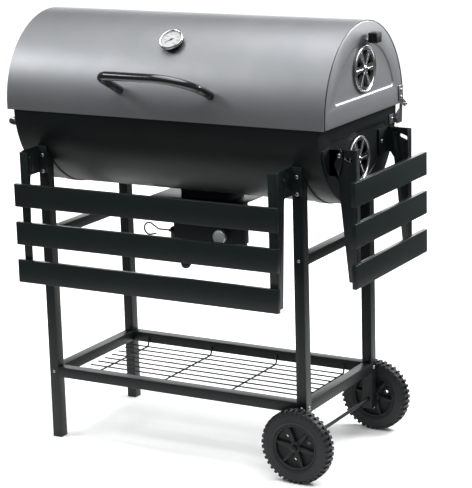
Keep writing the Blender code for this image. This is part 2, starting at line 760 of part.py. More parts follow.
def front_arm(name, x_side, parent):
    """Tapered side plate with a front flange that carries the slats."""
    outer = x_side * FRONT_ARM_X
    low, high = sorted((outer, outer - x_side * PLATE))
    front = FRONT_SLAT_Y + SLAT_DEPTH + GAP
    pivot_y, pivot_z = FRONT_PIVOT
    side = [(front, 0.6720), (front, 0.3900), (front + 0.019, 0.3900),
            (front + 0.033, 0.6100), (pivot_y + 0.013, 0.6400), (pivot_y + 0.013, 0.6620),
            (pivot_y + 0.006, 0.6720)]
    hole = arc((pivot_y, pivot_z), PIN_HOLE, 0.0, 330.0, 11)
    thing = add(name, plate_mesh(name, [side, hole], "YZ", low, high), black_paint, parent)
    flange_low, flange_high = sorted((outer, outer - x_side * 0.0200))
    fuse(thing, box_mesh(name, (flange_low + 0.0001, front + 0.0001, 0.3905),
                         (flange_high - 0.0001, front + PLATE, 0.6715)))


def side_bracket(name, y_side):
    """Angle bolted to the barrel's end plate; its web stands out beside the arm."""
    face = BARREL_HALF + GAP + PLATE + GAP
    web_y = -0.1395 if y_side < 0 else 0.1375
    pivot_x, pivot_z = SIDE_PIVOT
    web = [(face, 0.6510), (face + 0.022, 0.6510), (0.4030, 0.6800), (0.4030, 0.7010),
           (0.3980, 0.7060), (face, 0.7060)]
    mesh = plate_mesh(name, [web], "XZ", web_y, web_y + PLATE)
    thing = add(name, mesh, black_paint)
    if y_side < 0:
        foot = [(web_y - 0.030, 0.7058), (web_y - 0.030, 0.6920), (web_y - 0.008, 0.6512),
                (web_y + 0.001, 0.6512), (web_y + 0.001, 0.7058)]
    else:
        foot = [(web_y - 0.042, 0.7058), (web_y - 0.042, 0.6512),
                (web_y + 0.001, 0.6512), (web_y + 0.001, 0.7058)]
    fuse(thing, plate_mesh(name, [foot], "YZ", face + 0.0001, face + PLATE))
    arm = SIDE_ARM_Y
    if y_side < 0:
        start, end = web_y + 0.0005, -arm + PLATE + 0.0025
        spacer_low, spacer_high = web_y + 0.0005, -arm - GAP
    else:
        start, end = arm - PLATE - 0.0025, web_y + 0.0015
        spacer_low, spacer_high = arm + GAP, web_y + 0.0015
    fuse(thing, cylinder_mesh(name, (pivot_x, (start + end) / 2, pivot_z), PIN_RADIUS,
                              end - start, "Y", 12))
    fuse(thing, cylinder_mesh(name, (pivot_x, (spacer_low + spacer_high) / 2, pivot_z),
                              0.0060, spacer_high - spacer_low, "Y", 12))


def side_arm(name, y_side, parent):
    outer = y_side * SIDE_ARM_Y
    low, high = sorted((outer, outer - y_side * PLATE))
    front = SIDE_SLAT_X - SLAT_DEPTH - GAP
    pivot_x, pivot_z = SIDE_PIVOT
    side = [(0.3840, 0.7060), (0.3820, 0.7020), (0.3820, 0.6520), (0.3900, 0.6400),
            (front - 0.019, 0.4300), (front, 0.4300), (front, 0.7060)]
    hole = arc((pivot_x, pivot_z), PIN_HOLE, 0.0, 330.0, 11)
    slot = [(0.4065, 0.6935), (0.4205, 0.6880), (0.4225, 0.6840), (0.4215, 0.6800),
            (0.4070, 0.6855), (0.4045, 0.6895)]
    thing = add(name, plate_mesh(name, [side, hole, slot], "XZ", low, high), black_paint,
                parent)
    flange_low, flange_high = sorted((outer, outer - y_side * 0.0180))
    fuse(thing, box_mesh(name, (front - PLATE, flange_low + 0.0001, 0.4305),
                         (front - 0.0001, flange_high - 0.0001, 0.7055)))


front_table_axis = pivot_empty("front_table_axis", (0.0, *FRONT_PIVOT))
for number, bottom in enumerate(FRONT_SLAT_BOTTOMS, 1):
    slat(f"front_slat_{number}", (FRONT_SLAT_X[0], FRONT_SLAT_Y, bottom),
         (FRONT_SLAT_X[1], FRONT_SLAT_Y + SLAT_DEPTH, bottom + SLAT_HEIGHT), (1, 1),
         front_table_axis)
front_arm("front_arm_left", -1, front_table_axis)
front_arm("front_arm_right", 1, front_table_axis)
front_bracket("front_bracket_left", -1)
front_bracket("front_bracket_right", 1)

side_table_axis = pivot_empty("side_table_axis", (SIDE_PIVOT[0], 0.0, SIDE_PIVOT[1]))
for number, bottom in enumerate(SIDE_SLAT_BOTTOMS, 1):
    slat(f"side_slat_{number}", (SIDE_SLAT_X - SLAT_DEPTH, SIDE_SLAT_Y[0], bottom),
         (SIDE_SLAT_X, SIDE_SLAT_Y[1], bottom + SLAT_HEIGHT), (0, -1), side_table_axis)
side_arm("side_arm_front", -1, side_table_axis)
side_arm("side_arm_rear", 1, side_table_axis)
side_bracket("side_bracket_front", -1)
side_bracket("side_bracket_rear", 1)

# ---- ash box ---------------------------------------------------------------------------


def ash_duct():
    """Flange and short duct between the barrel's slot and the ash box."""
    low_x, high_x = ASH_BODY_X
    flange_z = ASH_BODY_Z[1] + GAP
    outer = [(DUCT_LEFT, -0.050), (0.115, -0.050), (0.115, 0.055), (DUCT_LEFT, 0.055)]
    inner = [(low_x + 0.004, -0.030), (high_x - 0.004, -0.030),
             (high_x - 0.004, 0.030), (low_x + 0.004, 0.030)]
    mesh = plate_mesh("ash_duct", [outer, inner], "XY", flange_z, flange_z + PLATE)
    thing = add("ash_duct", mesh, black_paint)
    wall = [(low_x, -0.034), (high_x, -0.034), (high_x, 0.034), (low_x, 0.034)]
    fuse(thing, plate_mesh("ash_duct", [wall, inner], "XY", flange_z + 0.0001, 0.580))
    cut(thing, barrel_cutter("ash_duct"))


def ash_housing():
    """Fixed box open at the top and the front."""
    low = (ASH_BODY_X[0], ASH_BODY_Y[0], ASH_BODY_Z[0])
    high = (ASH_BODY_X[1], ASH_BODY_Y[1], ASH_BODY_Z[1])
    thing = add("ash_housing", box_mesh("ash_housing", low, high), black_paint)
    cut(thing, box_mesh("ash_housing", (low[0] + SHEET, low[1] - 0.01, low[2] + SHEET),
                        (high[0] - SHEET, high[1] - SHEET, high[2] + 0.01)))


def ash_drawer():
    """Tray with a wide folded front panel; it slides out to the front."""
    wall = 0.0012
    x_low, x_high = ASH_PANEL_X
    z_low, z_high = ASH_PANEL_Z
    front = ASH_PANEL_Y
    mesh = box_mesh("ash_drawer", (x_low, front, z_low), (x_high, front + 0.0135, z_high))
    axis = pivot_empty("ash_drawer_axis", (0.0, front, (z_low + z_high) / 2))
    thing = add("ash_drawer", mesh, black_paint, axis)
    cut(thing, box_mesh("ash_drawer", (x_low + wall, front + wall, z_low + wall),
                        (x_high - wall, front + 0.03, z_high - wall)))
    side = 0.0025
    tray_low = (ASH_BODY_X[0] + side, front + 0.0008, ASH_BODY_Z[0] + 0.0025)
    tray_high = (ASH_BODY_X[1] - side, ASH_BODY_Y[1] - 0.0040, 0.5100)
    fuse(thing, box_mesh("ash_drawer", tray_low, tray_high))
    cut(thing, box_mesh("ash_drawer", (tray_low[0] + wall, front + wall, tray_low[2] + wall),
                        (tray_high[0] - wall, tray_high[1] - wall, 0.5200)))
    x, z = ASH_KNOB
    bm = lathe([(0.0, 0.0), (0.0060, 0.0), (0.0060, 0.0080), (0.0150, 0.0100),
                (0.0160, 0.0130), (0.0160, 0.0190), (0.0140, 0.0210), (0.0, 0.0210)], 20)
    bmesh.ops.rotate(bm, cent=(0, 0, 0), matrix=rotation(math.radians(90), "X"),
                     verts=bm.verts)
    bmesh.ops.translate(bm, vec=(x, front - GAP, z), verts=bm.verts)
    knob = add("ash_knob", mesh_from(bm, "ash_knob"), steel, axis)
    smooth(knob)


def latch_knob():
    """Round rest under the housing, on a short stem."""
    bottom = ASH_BODY_Z[0] - GAP
    bm = bmesh.new()
    bmesh.ops.create_uvsphere(bm, u_segments=12, v_segments=8, radius=0.0115)
    bmesh.ops.translate(bm, vec=LATCH, verts=bm.verts)
    foot = LATCH[2] + 0.0020
    thing = add("latch_knob", mesh_from(bm, "latch_knob"), black_plastic)
    fuse(thing, cylinder_mesh("latch_knob", (LATCH[0], LATCH[1], (foot + bottom) / 2), 0.0035,
                              bottom - foot, "Z", 12))
    smooth(thing)


def damper():
    """Angle on the housing's left wall, and the wire crank that turns in it."""
    wall_x = ASH_BODY_X[0] - GAP
    top = DAMPER_Z + 0.0110
    low = DAMPER_Z - 0.0310
    side = [(-0.034, low), (-0.006, low), (-0.006, top), (-0.034, top)]
    hole = arc((DAMPER_Y, DAMPER_Z), 0.0024, 0.0, 315.0, 7)
    thing = add("damper_bracket", plate_mesh("damper_bracket", [side, hole], "YZ",
                                             wall_x - 0.0300, wall_x - 0.0285), black_paint)
    fuse(thing, box_mesh("damper_bracket", (wall_x - 0.0298, -0.0338, top - 0.0015),
                         (wall_x - 0.0001, -0.0062, top - 0.0001)))
    fuse(thing, box_mesh("damper_bracket", (wall_x - 0.0015, -0.0338, top - 0.0170),
                         (wall_x, -0.0062, top - 0.0001)))
    axis = pivot_empty("damper_axis", (wall_x, DAMPER_Y, DAMPER_Z))
    start = wall_x - 0.0055
    x0 = wall_x - DAMPER_REACH
    loop = arc((x0 - 0.024, DAMPER_Z - 0.001), DAMPER_LOOP, 45.0, 290.0, 9)
    points = [(start, DAMPER_Y, DAMPER_Z), (x0, DAMPER_Y, DAMPER_Z)]
    points += [(u, DAMPER_Y, v) for u, v in loop]
    points.append((x0 - 0.008, DAMPER_Y, DAMPER_Z - 0.0115))
    crank = add("damper_crank", tube_mesh("damper_crank", points, 0.0014, 1), steel, axis)
    nuts = []
    for x in (wall_x - 0.0265, wall_x - 0.0330, wall_x - 0.0400):
        nuts.append(cylinder_mesh("nut", (x, DAMPER_Y, DAMPER_Z), 0.0042, 0.0030, "X", 6))
    fuse(crank, joined("damper_nuts", nuts))


ash_duct()
ash_housing()
ash_drawer()
latch_knob()
damper()
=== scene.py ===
import math

import bmesh
import bpy
from mathutils import Matrix, Vector


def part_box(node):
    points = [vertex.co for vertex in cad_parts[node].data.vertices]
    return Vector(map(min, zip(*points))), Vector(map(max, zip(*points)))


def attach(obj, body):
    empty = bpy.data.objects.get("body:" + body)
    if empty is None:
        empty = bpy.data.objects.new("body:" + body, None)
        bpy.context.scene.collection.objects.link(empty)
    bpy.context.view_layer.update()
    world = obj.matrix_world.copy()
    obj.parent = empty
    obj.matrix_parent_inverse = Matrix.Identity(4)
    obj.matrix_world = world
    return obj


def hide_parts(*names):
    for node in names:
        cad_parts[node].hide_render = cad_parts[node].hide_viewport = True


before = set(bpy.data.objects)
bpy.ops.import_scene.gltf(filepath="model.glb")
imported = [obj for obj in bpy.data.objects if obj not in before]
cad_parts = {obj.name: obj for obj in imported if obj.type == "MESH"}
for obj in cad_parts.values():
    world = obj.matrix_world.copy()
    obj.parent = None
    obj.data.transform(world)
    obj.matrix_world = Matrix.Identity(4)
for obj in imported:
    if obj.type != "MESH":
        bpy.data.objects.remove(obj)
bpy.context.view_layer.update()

barrelLow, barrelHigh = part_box("barrel_shell")
lidLow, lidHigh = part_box("lid_shell")
axisY = (barrelLow.y + barrelHigh.y) / 2      # the barrel's axis, in front-to-back terms


def addNode(tree, kind, settings=None, **values):
    # settings holds the sockets whose names have a space or a single letter
    node = tree.nodes.new(kind)
    for key, value in {**values, **(settings or {})}.items():
        if key in node.inputs:
            node.inputs[key].default_value = value
        else:
            setattr(node, key, value)
    return node


plainLook = {"metallic": 0.0, "specular": 0.5, "coat": 0.0, "coatRoughness": 0.2, "stretch": (1.0, 1.0, 1.0),
             "patchScale": 9.0, "grainScale": 900.0, "speckScale": 260.0, "fleckAmount": 0.3,
             "grain": 0.15, "grainDepth": 0.0002}
skin = {"patches": (0.35, 0.65), "flecks": (0.58, 0.75), "patchShare": 0.6, "speckShare": 0.4}


def makeFinish(name, look):
    # colour drifts between two shades, gloss varies in soft patches, and a fine grain lifts the skin
    look = {**plainLook, "fleck": look["shade"], **look}
    material = bpy.data.materials.new(name)
    material.use_nodes = True
    tree = material.node_tree
    link = tree.links.new
    shader = tree.nodes["Principled BSDF"]
    for socket, word in (("Metallic", "metallic"), ("Specular IOR Level", "specular"),
                         ("Coat Weight", "coat"), ("Coat Roughness", "coatRoughness")):
        shader.inputs[socket].default_value = look[word]
    coords = addNode(tree, "ShaderNodeTexCoord")
    stretch = addNode(tree, "ShaderNodeMapping", Scale=look["stretch"])
    link(coords.outputs["Object"], stretch.inputs["Vector"])
    broad = addNode(tree, "ShaderNodeTexNoise", Scale=look["patchScale"], Detail=4.0)
    fine = addNode(tree, "ShaderNodeTexNoise", Scale=look["grainScale"], Detail=3.0)
    speck = addNode(tree, "ShaderNodeTexNoise", Scale=look["speckScale"], Detail=6.0)
    for noise in (broad, fine, speck):
        link(stretch.outputs["Vector"], noise.inputs["Vector"])
    patches = addNode(tree, "ShaderNodeMapRange",
                      {"From Min": skin["patches"][0], "From Max": skin["patches"][1]})
    link(broad.outputs["Fac"], patches.inputs["Value"])
    shade = addNode(tree, "ShaderNodeMix", {"A": (*look["colour"], 1.0), "B": (*look["shade"], 1.0)},
                    data_type="RGBA")
    link(patches.outputs["Result"], shade.inputs["Factor"])
    flecks = addNode(tree, "ShaderNodeMapRange",
                     {"From Min": skin["flecks"][0], "From Max": skin["flecks"][1],
                      "To Max": look["fleckAmount"]})
    link(speck.outputs["Fac"], flecks.inputs["Value"])
    flecked = addNode(tree, "ShaderNodeMix", {"B": (*look["fleck"], 1.0)}, data_type="RGBA")
    link(flecks.outputs["Result"], flecked.inputs["Factor"])
    link(shade.outputs["Result"], flecked.inputs["A"])
    link(flecked.outputs["Result"], shader.inputs["Base Color"])
    share = addNode(tree, "ShaderNodeMath", operation="MULTIPLY")
    share.inputs[1].default_value = skin["speckShare"]
    link(speck.outputs["Fac"], share.inputs[0])
    mixed = addNode(tree, "ShaderNodeMath", operation="MULTIPLY_ADD")
    mixed.inputs[1].default_value = skin["patchShare"]
    link(broad.outputs["Fac"], mixed.inputs[0])
    link(share.outputs["Value"], mixed.inputs[2])
    gloss = addNode(tree, "ShaderNodeMapRange",
                    {"To Min": look["roughness"][0], "To Max": look["roughness"][1]})
    link(mixed.outputs["Value"], gloss.inputs["Value"])
    link(gloss.outputs["Result"], shader.inputs["Roughness"])
    bump = addNode(tree, "ShaderNodeBump", Strength=look["grain"], Distance=look["grainDepth"])
    link(fine.outputs["Fac"], bump.inputs["Height"])
    link(bump.outputs["Normal"], shader.inputs["Normal"])
    return material


looks = {
    "lid_enamel": dict(colour=(0.285, 0.292, 0.305), shade=(0.255, 0.264, 0.275), metallic=0.85,
                       roughness=(0.42, 0.50), specular=0.4, grain=0.08, fleckAmount=0.15,
                       fleck=(0.34, 0.35, 0.36)),
    "barrel_enamel": dict(colour=(0.0075, 0.0105, 0.0105), shade=(0.0055, 0.0080, 0.0080),
                          roughness=(0.36, 0.46), specular=0.20, grain=0.10,
                          fleck=(0.015, 0.018, 0.018), fleckAmount=0.2),
    "frame_paint": dict(colour=(0.0045, 0.0078, 0.0078), shade=(0.0032, 0.0058, 0.0058),
                        roughness=(0.34, 0.46), specular=0.32, grain=0.22, grainScale=1100.0,
                        fleck=(0.025, 0.030, 0.031), fleckAmount=0.2),
    "table_paint": dict(colour=(0.0060, 0.0105, 0.0110), shade=(0.0045, 0.0082, 0.0086),
                        roughness=(0.28, 0.38), specular=0.42, grain=0.25, grainScale=1000.0,
                        fleck=(0.025, 0.031, 0.032), fleckAmount=0.2),
    "ash_paint": dict(colour=(0.0045, 0.0062, 0.0066), shade=(0.0034, 0.0048, 0.0052),
                      roughness=(0.35, 0.5), specular=0.18, grain=0.18),
    "handle_gloss": dict(colour=(0.008, 0.0085, 0.009), shade=(0.006, 0.0065, 0.007),
                         roughness=(0.10, 0.20), specular=0.6, coat=0.6, coatRoughness=0.08,
                         grain=0.05),
    "bright_chrome": dict(colour=(0.66, 0.66, 0.67), shade=(0.58, 0.58, 0.59), metallic=1.0,
                          roughness=(0.08, 0.20), grain=0.04, fleckAmount=0.1),
    "vent_steel": dict(colour=(0.60, 0.61, 0.62), shade=(0.50, 0.51, 0.52), metallic=1.0,
                       roughness=(0.16, 0.30), grain=0.06),
    "zinc_plate": dict(colour=(0.40, 0.41, 0.43), shade=(0.30, 0.31, 0.33), metallic=1.0,
                       roughness=(0.22, 0.42), grain=0.15, speckScale=500.0,
                       fleck=(0.75, 0.75, 0.72), fleckAmount=0.4),
    "handle_steel": dict(colour=(0.012, 0.014, 0.0145), shade=(0.009, 0.010, 0.0105),
                         roughness=(0.22, 0.35), specular=0.5, coat=0.3, grain=0.08),
    "knob_steel": dict(colour=(0.42, 0.45, 0.46), shade=(0.34, 0.37, 0.38), metallic=0.9,
                       roughness=(0.35, 0.5), grain=0.2, stretch=(1.0, 1.0, 14.0)),
    "grate_steel": dict(colour=(0.46, 0.47, 0.48), shade=(0.34, 0.35, 0.36), metallic=1.0,
                        roughness=(0.25, 0.42), grain=0.12),
    "black_plastic": dict(colour=(0.006, 0.007, 0.0072), shade=(0.0045, 0.0055, 0.0056),
                          roughness=(0.45, 0.60), specular=0.25, grain=0.35, grainScale=1400.0),
    "wheel_plastic": dict(colour=(0.0095, 0.0125, 0.0125), shade=(0.007, 0.0095, 0.0095),
                          roughness=(0.42, 0.58), specular=0.28, grain=0.3, grainScale=1300.0),
    "tyre_plastic": dict(colour=(0.0110, 0.0140, 0.0145), shade=(0.008, 0.0105, 0.011),
                         roughness=(0.42, 0.58), specular=0.32, grain=0.35, grainScale=1200.0,
                         fleck=(0.03, 0.033, 0.033), fleckAmount=0.25),
    "dial_card": dict(colour=(0.50, 0.51, 0.51), shade=(0.44, 0.45, 0.45),
                      roughness=(0.35, 0.45), specular=0.4, grain=0.05, fleckAmount=0.05),
    "dial_ink": dict(colour=(0.02, 0.02, 0.022), shade=(0.03, 0.03, 0.032),
                     roughness=(0.4, 0.5), specular=0.3, grain=0.05),
    "dial_needle": dict(colour=(0.012, 0.012, 0.012), shade=(0.010, 0.010, 0.010),
                        roughness=(0.3, 0.4), specular=0.4, grain=0.05),
}
materials = {name: makeFinish(name, look) for name, look in looks.items()}
print("finishes ready:", len(materials))

weld = 0.00001          # vertices closer than this are made one
roundCap = ((0.97, 0.25), (0.7, 0.71), (0.3, 0.95))     # radius and reach of a round tube end's rings


def plainMesh(name, bm):
    mesh = bpy.data.meshes.new(name)
    bm.to_mesh(mesh)
    bm.free()
    return mesh


def linked(name, data):
    # a new object in the scene
    made = bpy.data.objects.new(name, data)
    bpy.context.scene.collection.objects.link(made)
    return made


def finishPiece(name, bm, body, look, replaces=(), sharp=35.0):
    # turns a bmesh into a piece that rides on a body
    mesh = plainMesh(name, bm)
    piece = linked(name, mesh)
    mesh.materials.append(materials[look])
    mesh.shade_smooth()
    mesh.set_sharp_from_angle(angle=math.radians(sharp))
    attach(piece, body)
    if replaces:
        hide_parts(*replaces)


def bevelEdges(bm, edges, width, segments=2):
    if edges:
        bmesh.ops.bevel(bm, geom=edges, offset=width, offset_type="OFFSET", segments=segments,
                        profile=0.5, affect="EDGES", clamp_overlap=True, material=-1)


def sharpEdges(bm, angle=25.0):
    limit = math.radians(angle)
    return [e for e in bm.edges if len(e.link_faces) == 2 and e.calc_face_angle(0.0) > limit]


def softened(node, body, look, width, segments=2):
    # the CAD piece again, with its hard edges rolled over as folded sheet and cut tube are
    bm = bmesh.new()
    bm.from_mesh(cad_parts[node].data)
    bmesh.ops.remove_doubles(bm, verts=bm.verts, dist=2 * weld)
    bmesh.ops.dissolve_limit(bm, angle_limit=math.radians(1.0), verts=bm.verts, edges=bm.edges)
    bmesh.ops.recalc_face_normals(bm, faces=bm.faces)
    bevelEdges(bm, sharpEdges(bm, 38.0), width, segments)
    finishPiece(node + "_soft", bm, body, look, replaces=(node,))


def spinProfile(bm, profile, steps, closed=False):
    # profile is a list of (radius, height); the result is turned about Z
    ring = [bm.verts.new((radius, 0.0, height)) for radius, height in profile]
    edges = [bm.edges.new(pair) for pair in zip(ring, ring[1:])]
    if closed:
        edges.append(bm.edges.new((ring[-1], ring[0])))
    bmesh.ops.spin(bm, geom=ring + edges, cent=(0, 0, 0), axis=(0, 0, 1), angle=math.tau, steps=steps,
                   use_merge=True)
    bmesh.ops.remove_doubles(bm, verts=bm.verts, dist=weld)
    bmesh.ops.recalc_face_normals(bm, faces=bm.faces)


def aim(direction, place):
    # a matrix that takes +Z to direction and the origin to place
    turn = Vector((0, 0, 1)).rotation_difference(Vector(direction)).to_matrix().to_4x4()
    return Matrix.Translation(place) @ turn


def smoothPath(corners, radii, steps=10):
    # a path through the corners with an arc at each inner corner
    points = [Vector(corners[0])]
    for radius, before, corner, after in zip(radii, corners, corners[1:], corners[2:]):
        corner = Vector(corner)
        into = (corner - Vector(before)).normalized()
        out = (Vector(after) - corner).normalized()
        turn = into.angle(out)
        start = corner - into * radius * math.tan(turn / 2)
        inward = (out - into * into.dot(out)).normalized()
        centre = start + inward * radius
        for i in range(steps + 1):
            step = turn * i / steps
            points.append(centre + into * radius * math.sin(step) - inward * radius * math.cos(step))
    points.append(Vector(corners[-1]))
    return points


def sweepTube(bm, points, radius, sides, roundEnds=False):
    # a round tube along points, closed at both ends
    points = [Vector(p) for p in points]
    normal = (points[1] - points[0]).normalized().orthogonal().normalized()
    rings = []
    for i, place in enumerate(points):
        ahead = (points[min(i + 1, len(points) - 1)] - points[max(i - 1, 0)]).normalized()
        normal = (normal - ahead * normal.dot(ahead)).normalized()
        side = ahead.cross(normal)
        spokes = []
        for k in range(sides):
            angle = math.tau * k / sides
            spokes.append(normal * math.cos(angle) + side * math.sin(angle))
        rings.append([place + spoke * radius for spoke in spokes])
        for size, reach in roundCap:
            if roundEnds and i == 0:
                middle = place - ahead * radius * reach
                rings.insert(0, [middle + spoke * radius * size for spoke in spokes])
            if roundEnds and i == len(points) - 1:
                middle = place + ahead * radius * reach
                rings.append([middle + spoke * radius * size for spoke in spokes])
    loops = [[bm.verts.new(co) for co in ring] for ring in rings]
    for low, high in zip(loops, loops[1:]):
        for k in range(sides):
            bm.faces.new((low[k], low[(k + 1) % sides], high[(k + 1) % sides], high[k]))
    bm.faces.new(loops[0][::-1])
    bm.faces.new(loops[-1])
    bmesh.ops.recalc_face_normals(bm, faces=bm.faces)


def addBlock(bm, size, centre):
    # a box about its centre
    made = bmesh.ops.create_cube(bm, size=1.0)
    bmesh.ops.scale(bm, vec=size, verts=made["verts"])
    bmesh.ops.translate(bm, vec=centre, verts=made["verts"])
    return made["verts"]


def joinCopy(bm, template, matrix):
    # adds a placed copy of a small template mesh
    before = len(bm.verts)
    bm.from_mesh(template)
    bm.verts.ensure_lookup_table()
    bmesh.ops.transform(bm, matrix=matrix, verts=bm.verts[before:])


def templateMesh(name, bm):
    bmesh.ops.recalc_face_normals(bm, faces=bm.faces)
    return plainMesh(name, bm)


def cutMesh(name, bm, cutters):
    # cuts closed shapes out of a closed shape and gives the result back as a bmesh
    base = linked(name + "_blank", plainMesh(name, bm))
    tool = linked(name + "_tool", cutters)
    modifier = base.modifiers.new("cut", "BOOLEAN")
    modifier.object = tool
    modifier.solver = "EXACT"
    bpy.context.view_layer.update()
    made = bpy.data.meshes.new_from_object(base.evaluated_get(bpy.context.evaluated_depsgraph_get()))
    bpy.data.objects.remove(base)
    bpy.data.objects.remove(tool)
    if not made.polygons:
        raise RuntimeError(name + " was cut away")
    result = bmesh.new()
    result.from_mesh(made)
    return result


def extrudeLoop(bm, loop, offset):
    # a closed outline given as 3D points, pushed along offset into a solid
    face = bm.faces.new([bm.verts.new(p) for p in loop])
    made = bmesh.ops.extrude_face_region(bm, geom=[face])
    moved = [g for g in made["geom"] if isinstance(g, bmesh.types.BMVert)]
    bmesh.ops.translate(bm, vec=offset, verts=moved)
    bmesh.ops.recalc_face_normals(bm, faces=bm.faces)


def arcPoints(centre, radius, start, end, steps):
    # points (y, z) on a circle, angles in degrees from +Y
    points = []
    for i in range(steps + 1):
        angle = math.radians(start + (end - start) * i / steps)
        points.append((centre[0] + radius * math.cos(angle), centre[1] + radius * math.sin(angle)))
    return points


shell = {
    "lidRadius": (lidHigh.y - lidLow.y) / 2,
    "barrelRadius": (barrelHigh.y - barrelLow.y) / 2,
    "sheet": 0.0015,
    "arcSteps": 120,
    "seam": 0.0020,          # from the skin's outside to the end plate's rim
    "lip": 0.0006,           # the skin ends this far short of the plate's face
    "plateSheet": 0.0020,    # thickness of the CAD's end plates
    "rim": 0.0016,           # rounded edge of an end plate
}
# the dark ring set in each lid seam is painted shade, standing for the shadow in the groove between skin and
# end plate
seamShade = {"narrow": 0.0042,    # how much narrower a lid end plate is at each side
        "depth": 0.0040, "tuck": 0.0001, "below": 0.0050, "reach": 0.0200}
field = {"inset": 0.0405,    # where the pressed field starts
         "ramp": 0.0050,     # width of its sloping edge
         "depth": 0.0020, "corner": 0.010, "tighten": 0.6, "steps": 6}
ashHole = {"left": -0.041, "right": 0.071, "half": 0.030, "low": 0.55, "high": 0.60}
vent = {"ring": 0.0042, "sectors": 6, "spread": 17.0, "inner": 0.013, "outer": 0.039,
        "seat": 0.0470, "seatRim": 0.0006, "overFace": 0.0003}
lidCentre = (axisY, lidHigh.z - shell["lidRadius"])
barrelCentre = (axisY, barrelLow.z + shell["barrelRadius"])
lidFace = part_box("lid_end_plate_right")[0].x + shell["plateSheet"]
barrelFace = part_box("barrel_end_plate_right")[1].x
lowerVentLow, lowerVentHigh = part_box("lower_vent_disc")
ventRadius = (lowerVentHigh.y - lowerVentLow.y) / 2
lowerVentZ = (lowerVentLow.z + lowerVentHigh.z) / 2
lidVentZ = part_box("lid_vent_disc")[0].z + ventRadius


def lidOutline(radius):
    points = [(lidCentre[0] + radius, lidLow.z)]
    points += arcPoints(lidCentre, radius, 0.0, 180.0, shell["arcSteps"])
    points.append((lidCentre[0] - radius, lidLow.z))
    return points


def lidPlateOutline(radius):
    # a little narrower than the lid, so the dark ring of painted shade around it is widest at the front and
    # rear
    narrow = 1.0 - seamShade["narrow"] / radius
    return [(axisY + (y - axisY) * narrow, z) for y, z in lidOutline(radius)]


def barrelOutline(radius):
    points = [(barrelCentre[0] - radius, barrelHigh.z)]
    points += arcPoints(barrelCentre, radius, 180.0, 360.0, shell["arcSteps"])
    points.append((barrelCentre[0] + radius, barrelHigh.z))
    return points


def seamShadeRing(name, side):
    # dark ring between the lid's skin and its end plate, in the barrel's black enamel: painted shade of the
    # seam's groove
    outer = lidOutline(shell["lidRadius"] - shell["sheet"] - seamShade["tuck"])
    inner = lidPlateOutline(shell["lidRadius"] - shell["seam"] + seamShade["tuck"])
    inner = [(y, z if z > lidLow.z + seamShade["tuck"] else z - seamShade["below"]) for y, z in inner]
    start = side * (lidFace - shell["lip"] - seamShade["depth"])
    bm = bmesh.new()
    extrudeLoop(bm, [(start, y, z) for y, z in outer], (side * seamShade["depth"], 0, 0))
    tool = bmesh.new()
    start = side * (lidFace - seamShade["reach"])
    extrudeLoop(tool, [(start, y, z) for y, z in inner], (side * 2 * seamShade["reach"], 0, 0))
    bm = cutMesh(name, bm, templateMesh(name + "_tool", tool))
    finishPiece(name, bm, "lid", "barrel_enamel")


def curvedShell(name, outline, radius, half, body, look, node, cutters=None):
    bm = bmesh.new()
    loop = outline(radius) + outline(radius - shell["sheet"])[::-1]
    extrudeLoop(bm, [(-half, y, z) for y, z in loop], (2 * half, 0, 0))
    if cutters:
        bm = cutMesh(name, bm, cutters)
    finishPiece(name, bm, body, look, replaces=(node,), sharp=30.0)


def ashHoleTool():
    low = (ashHole["left"], axisY - ashHole["half"], ashHole["low"])
    high = (ashHole["right"], axisY + ashHole["half"], ashHole["high"])
    bm = bmesh.new()
    addBlock(bm, [b - a for a, b in zip(low, high)], [(a + b) / 2 for a, b in zip(low, high)])
    return templateMesh("ash_hole", bm)


def panelLoop(centre, radius, flat, corner, sign):
    # D shape with rounded corners: an arch of radius closed by a flat at height flat
    reach = math.sqrt((radius - corner) ** 2 - (sign * (flat - centre[1]) + corner) ** 2)
    lean = math.degrees(math.atan2(sign * (flat - centre[1]) + corner, reach))
    points = arcPoints((0, 0), radius, lean, 180.0 - lean, 72)
    left = (-reach, sign * (flat - centre[1]) + corner)
    points += arcPoints(left, corner, 180.0 - lean, 270.0, 10)[1:]
    points += arcPoints((-left[0], left[1]), corner, 270.0, 360.0 + lean, 10)[:-1]
    return [(centre[0] + y, centre[1] + sign * z) for y, z in points]


def sectorTool(name, z, xLow, xHigh):
    # the vent's pie-shaped holes as solids
    centre = (axisY, z)
    bm = bmesh.new()
    for i in range(vent["sectors"]):
        middle = 90.0 + 360.0 * i / vent["sectors"]
        loop = arcPoints(centre, vent["outer"], middle - vent["spread"], middle + vent["spread"], 8)
        loop += arcPoints(centre, vent["inner"], middle + vent["spread"], middle - vent["spread"], 3)
        extrudeLoop(bm, [(xLow, y, z) for y, z in loop], (xHigh - xLow, 0, 0))
    return templateMesh(name, bm)


def fieldTool(name, side, half):
    # the pressed D-shaped field as a solid with a smoothly sloping edge
    bm = bmesh.new()
    rings = []
    for k in range(-1, field["steps"] + 1):
        t = max(k, 0) / field["steps"]
        inset = field["inset"] + field["ramp"] * t
        depth = field["depth"] * (3 * t * t - 2 * t * t * t)
        if k < 0:
            depth = -field["depth"]        # the first ring stands clear of the plate's face
        loop = panelLoop(half["centre"], half["radius"] - inset,
                         half["flat"] + half["sign"] * (inset - field["inset"]),
                         field["corner"] - field["ramp"] * t * field["tighten"], half["sign"])
        rings.append([bm.verts.new((side * (half["face"] - depth), y, z)) for y, z in loop])
    for low, high in zip(rings, rings[1:]):
        for i in range(len(low)):
            n = (i + 1) % len(low)
            bm.faces.new((low[i], low[n], high[n], high[i]))
    bm.faces.new(rings[-1])
    bm.faces.new(rings[0][::-1])
    return templateMesh(name, bm)


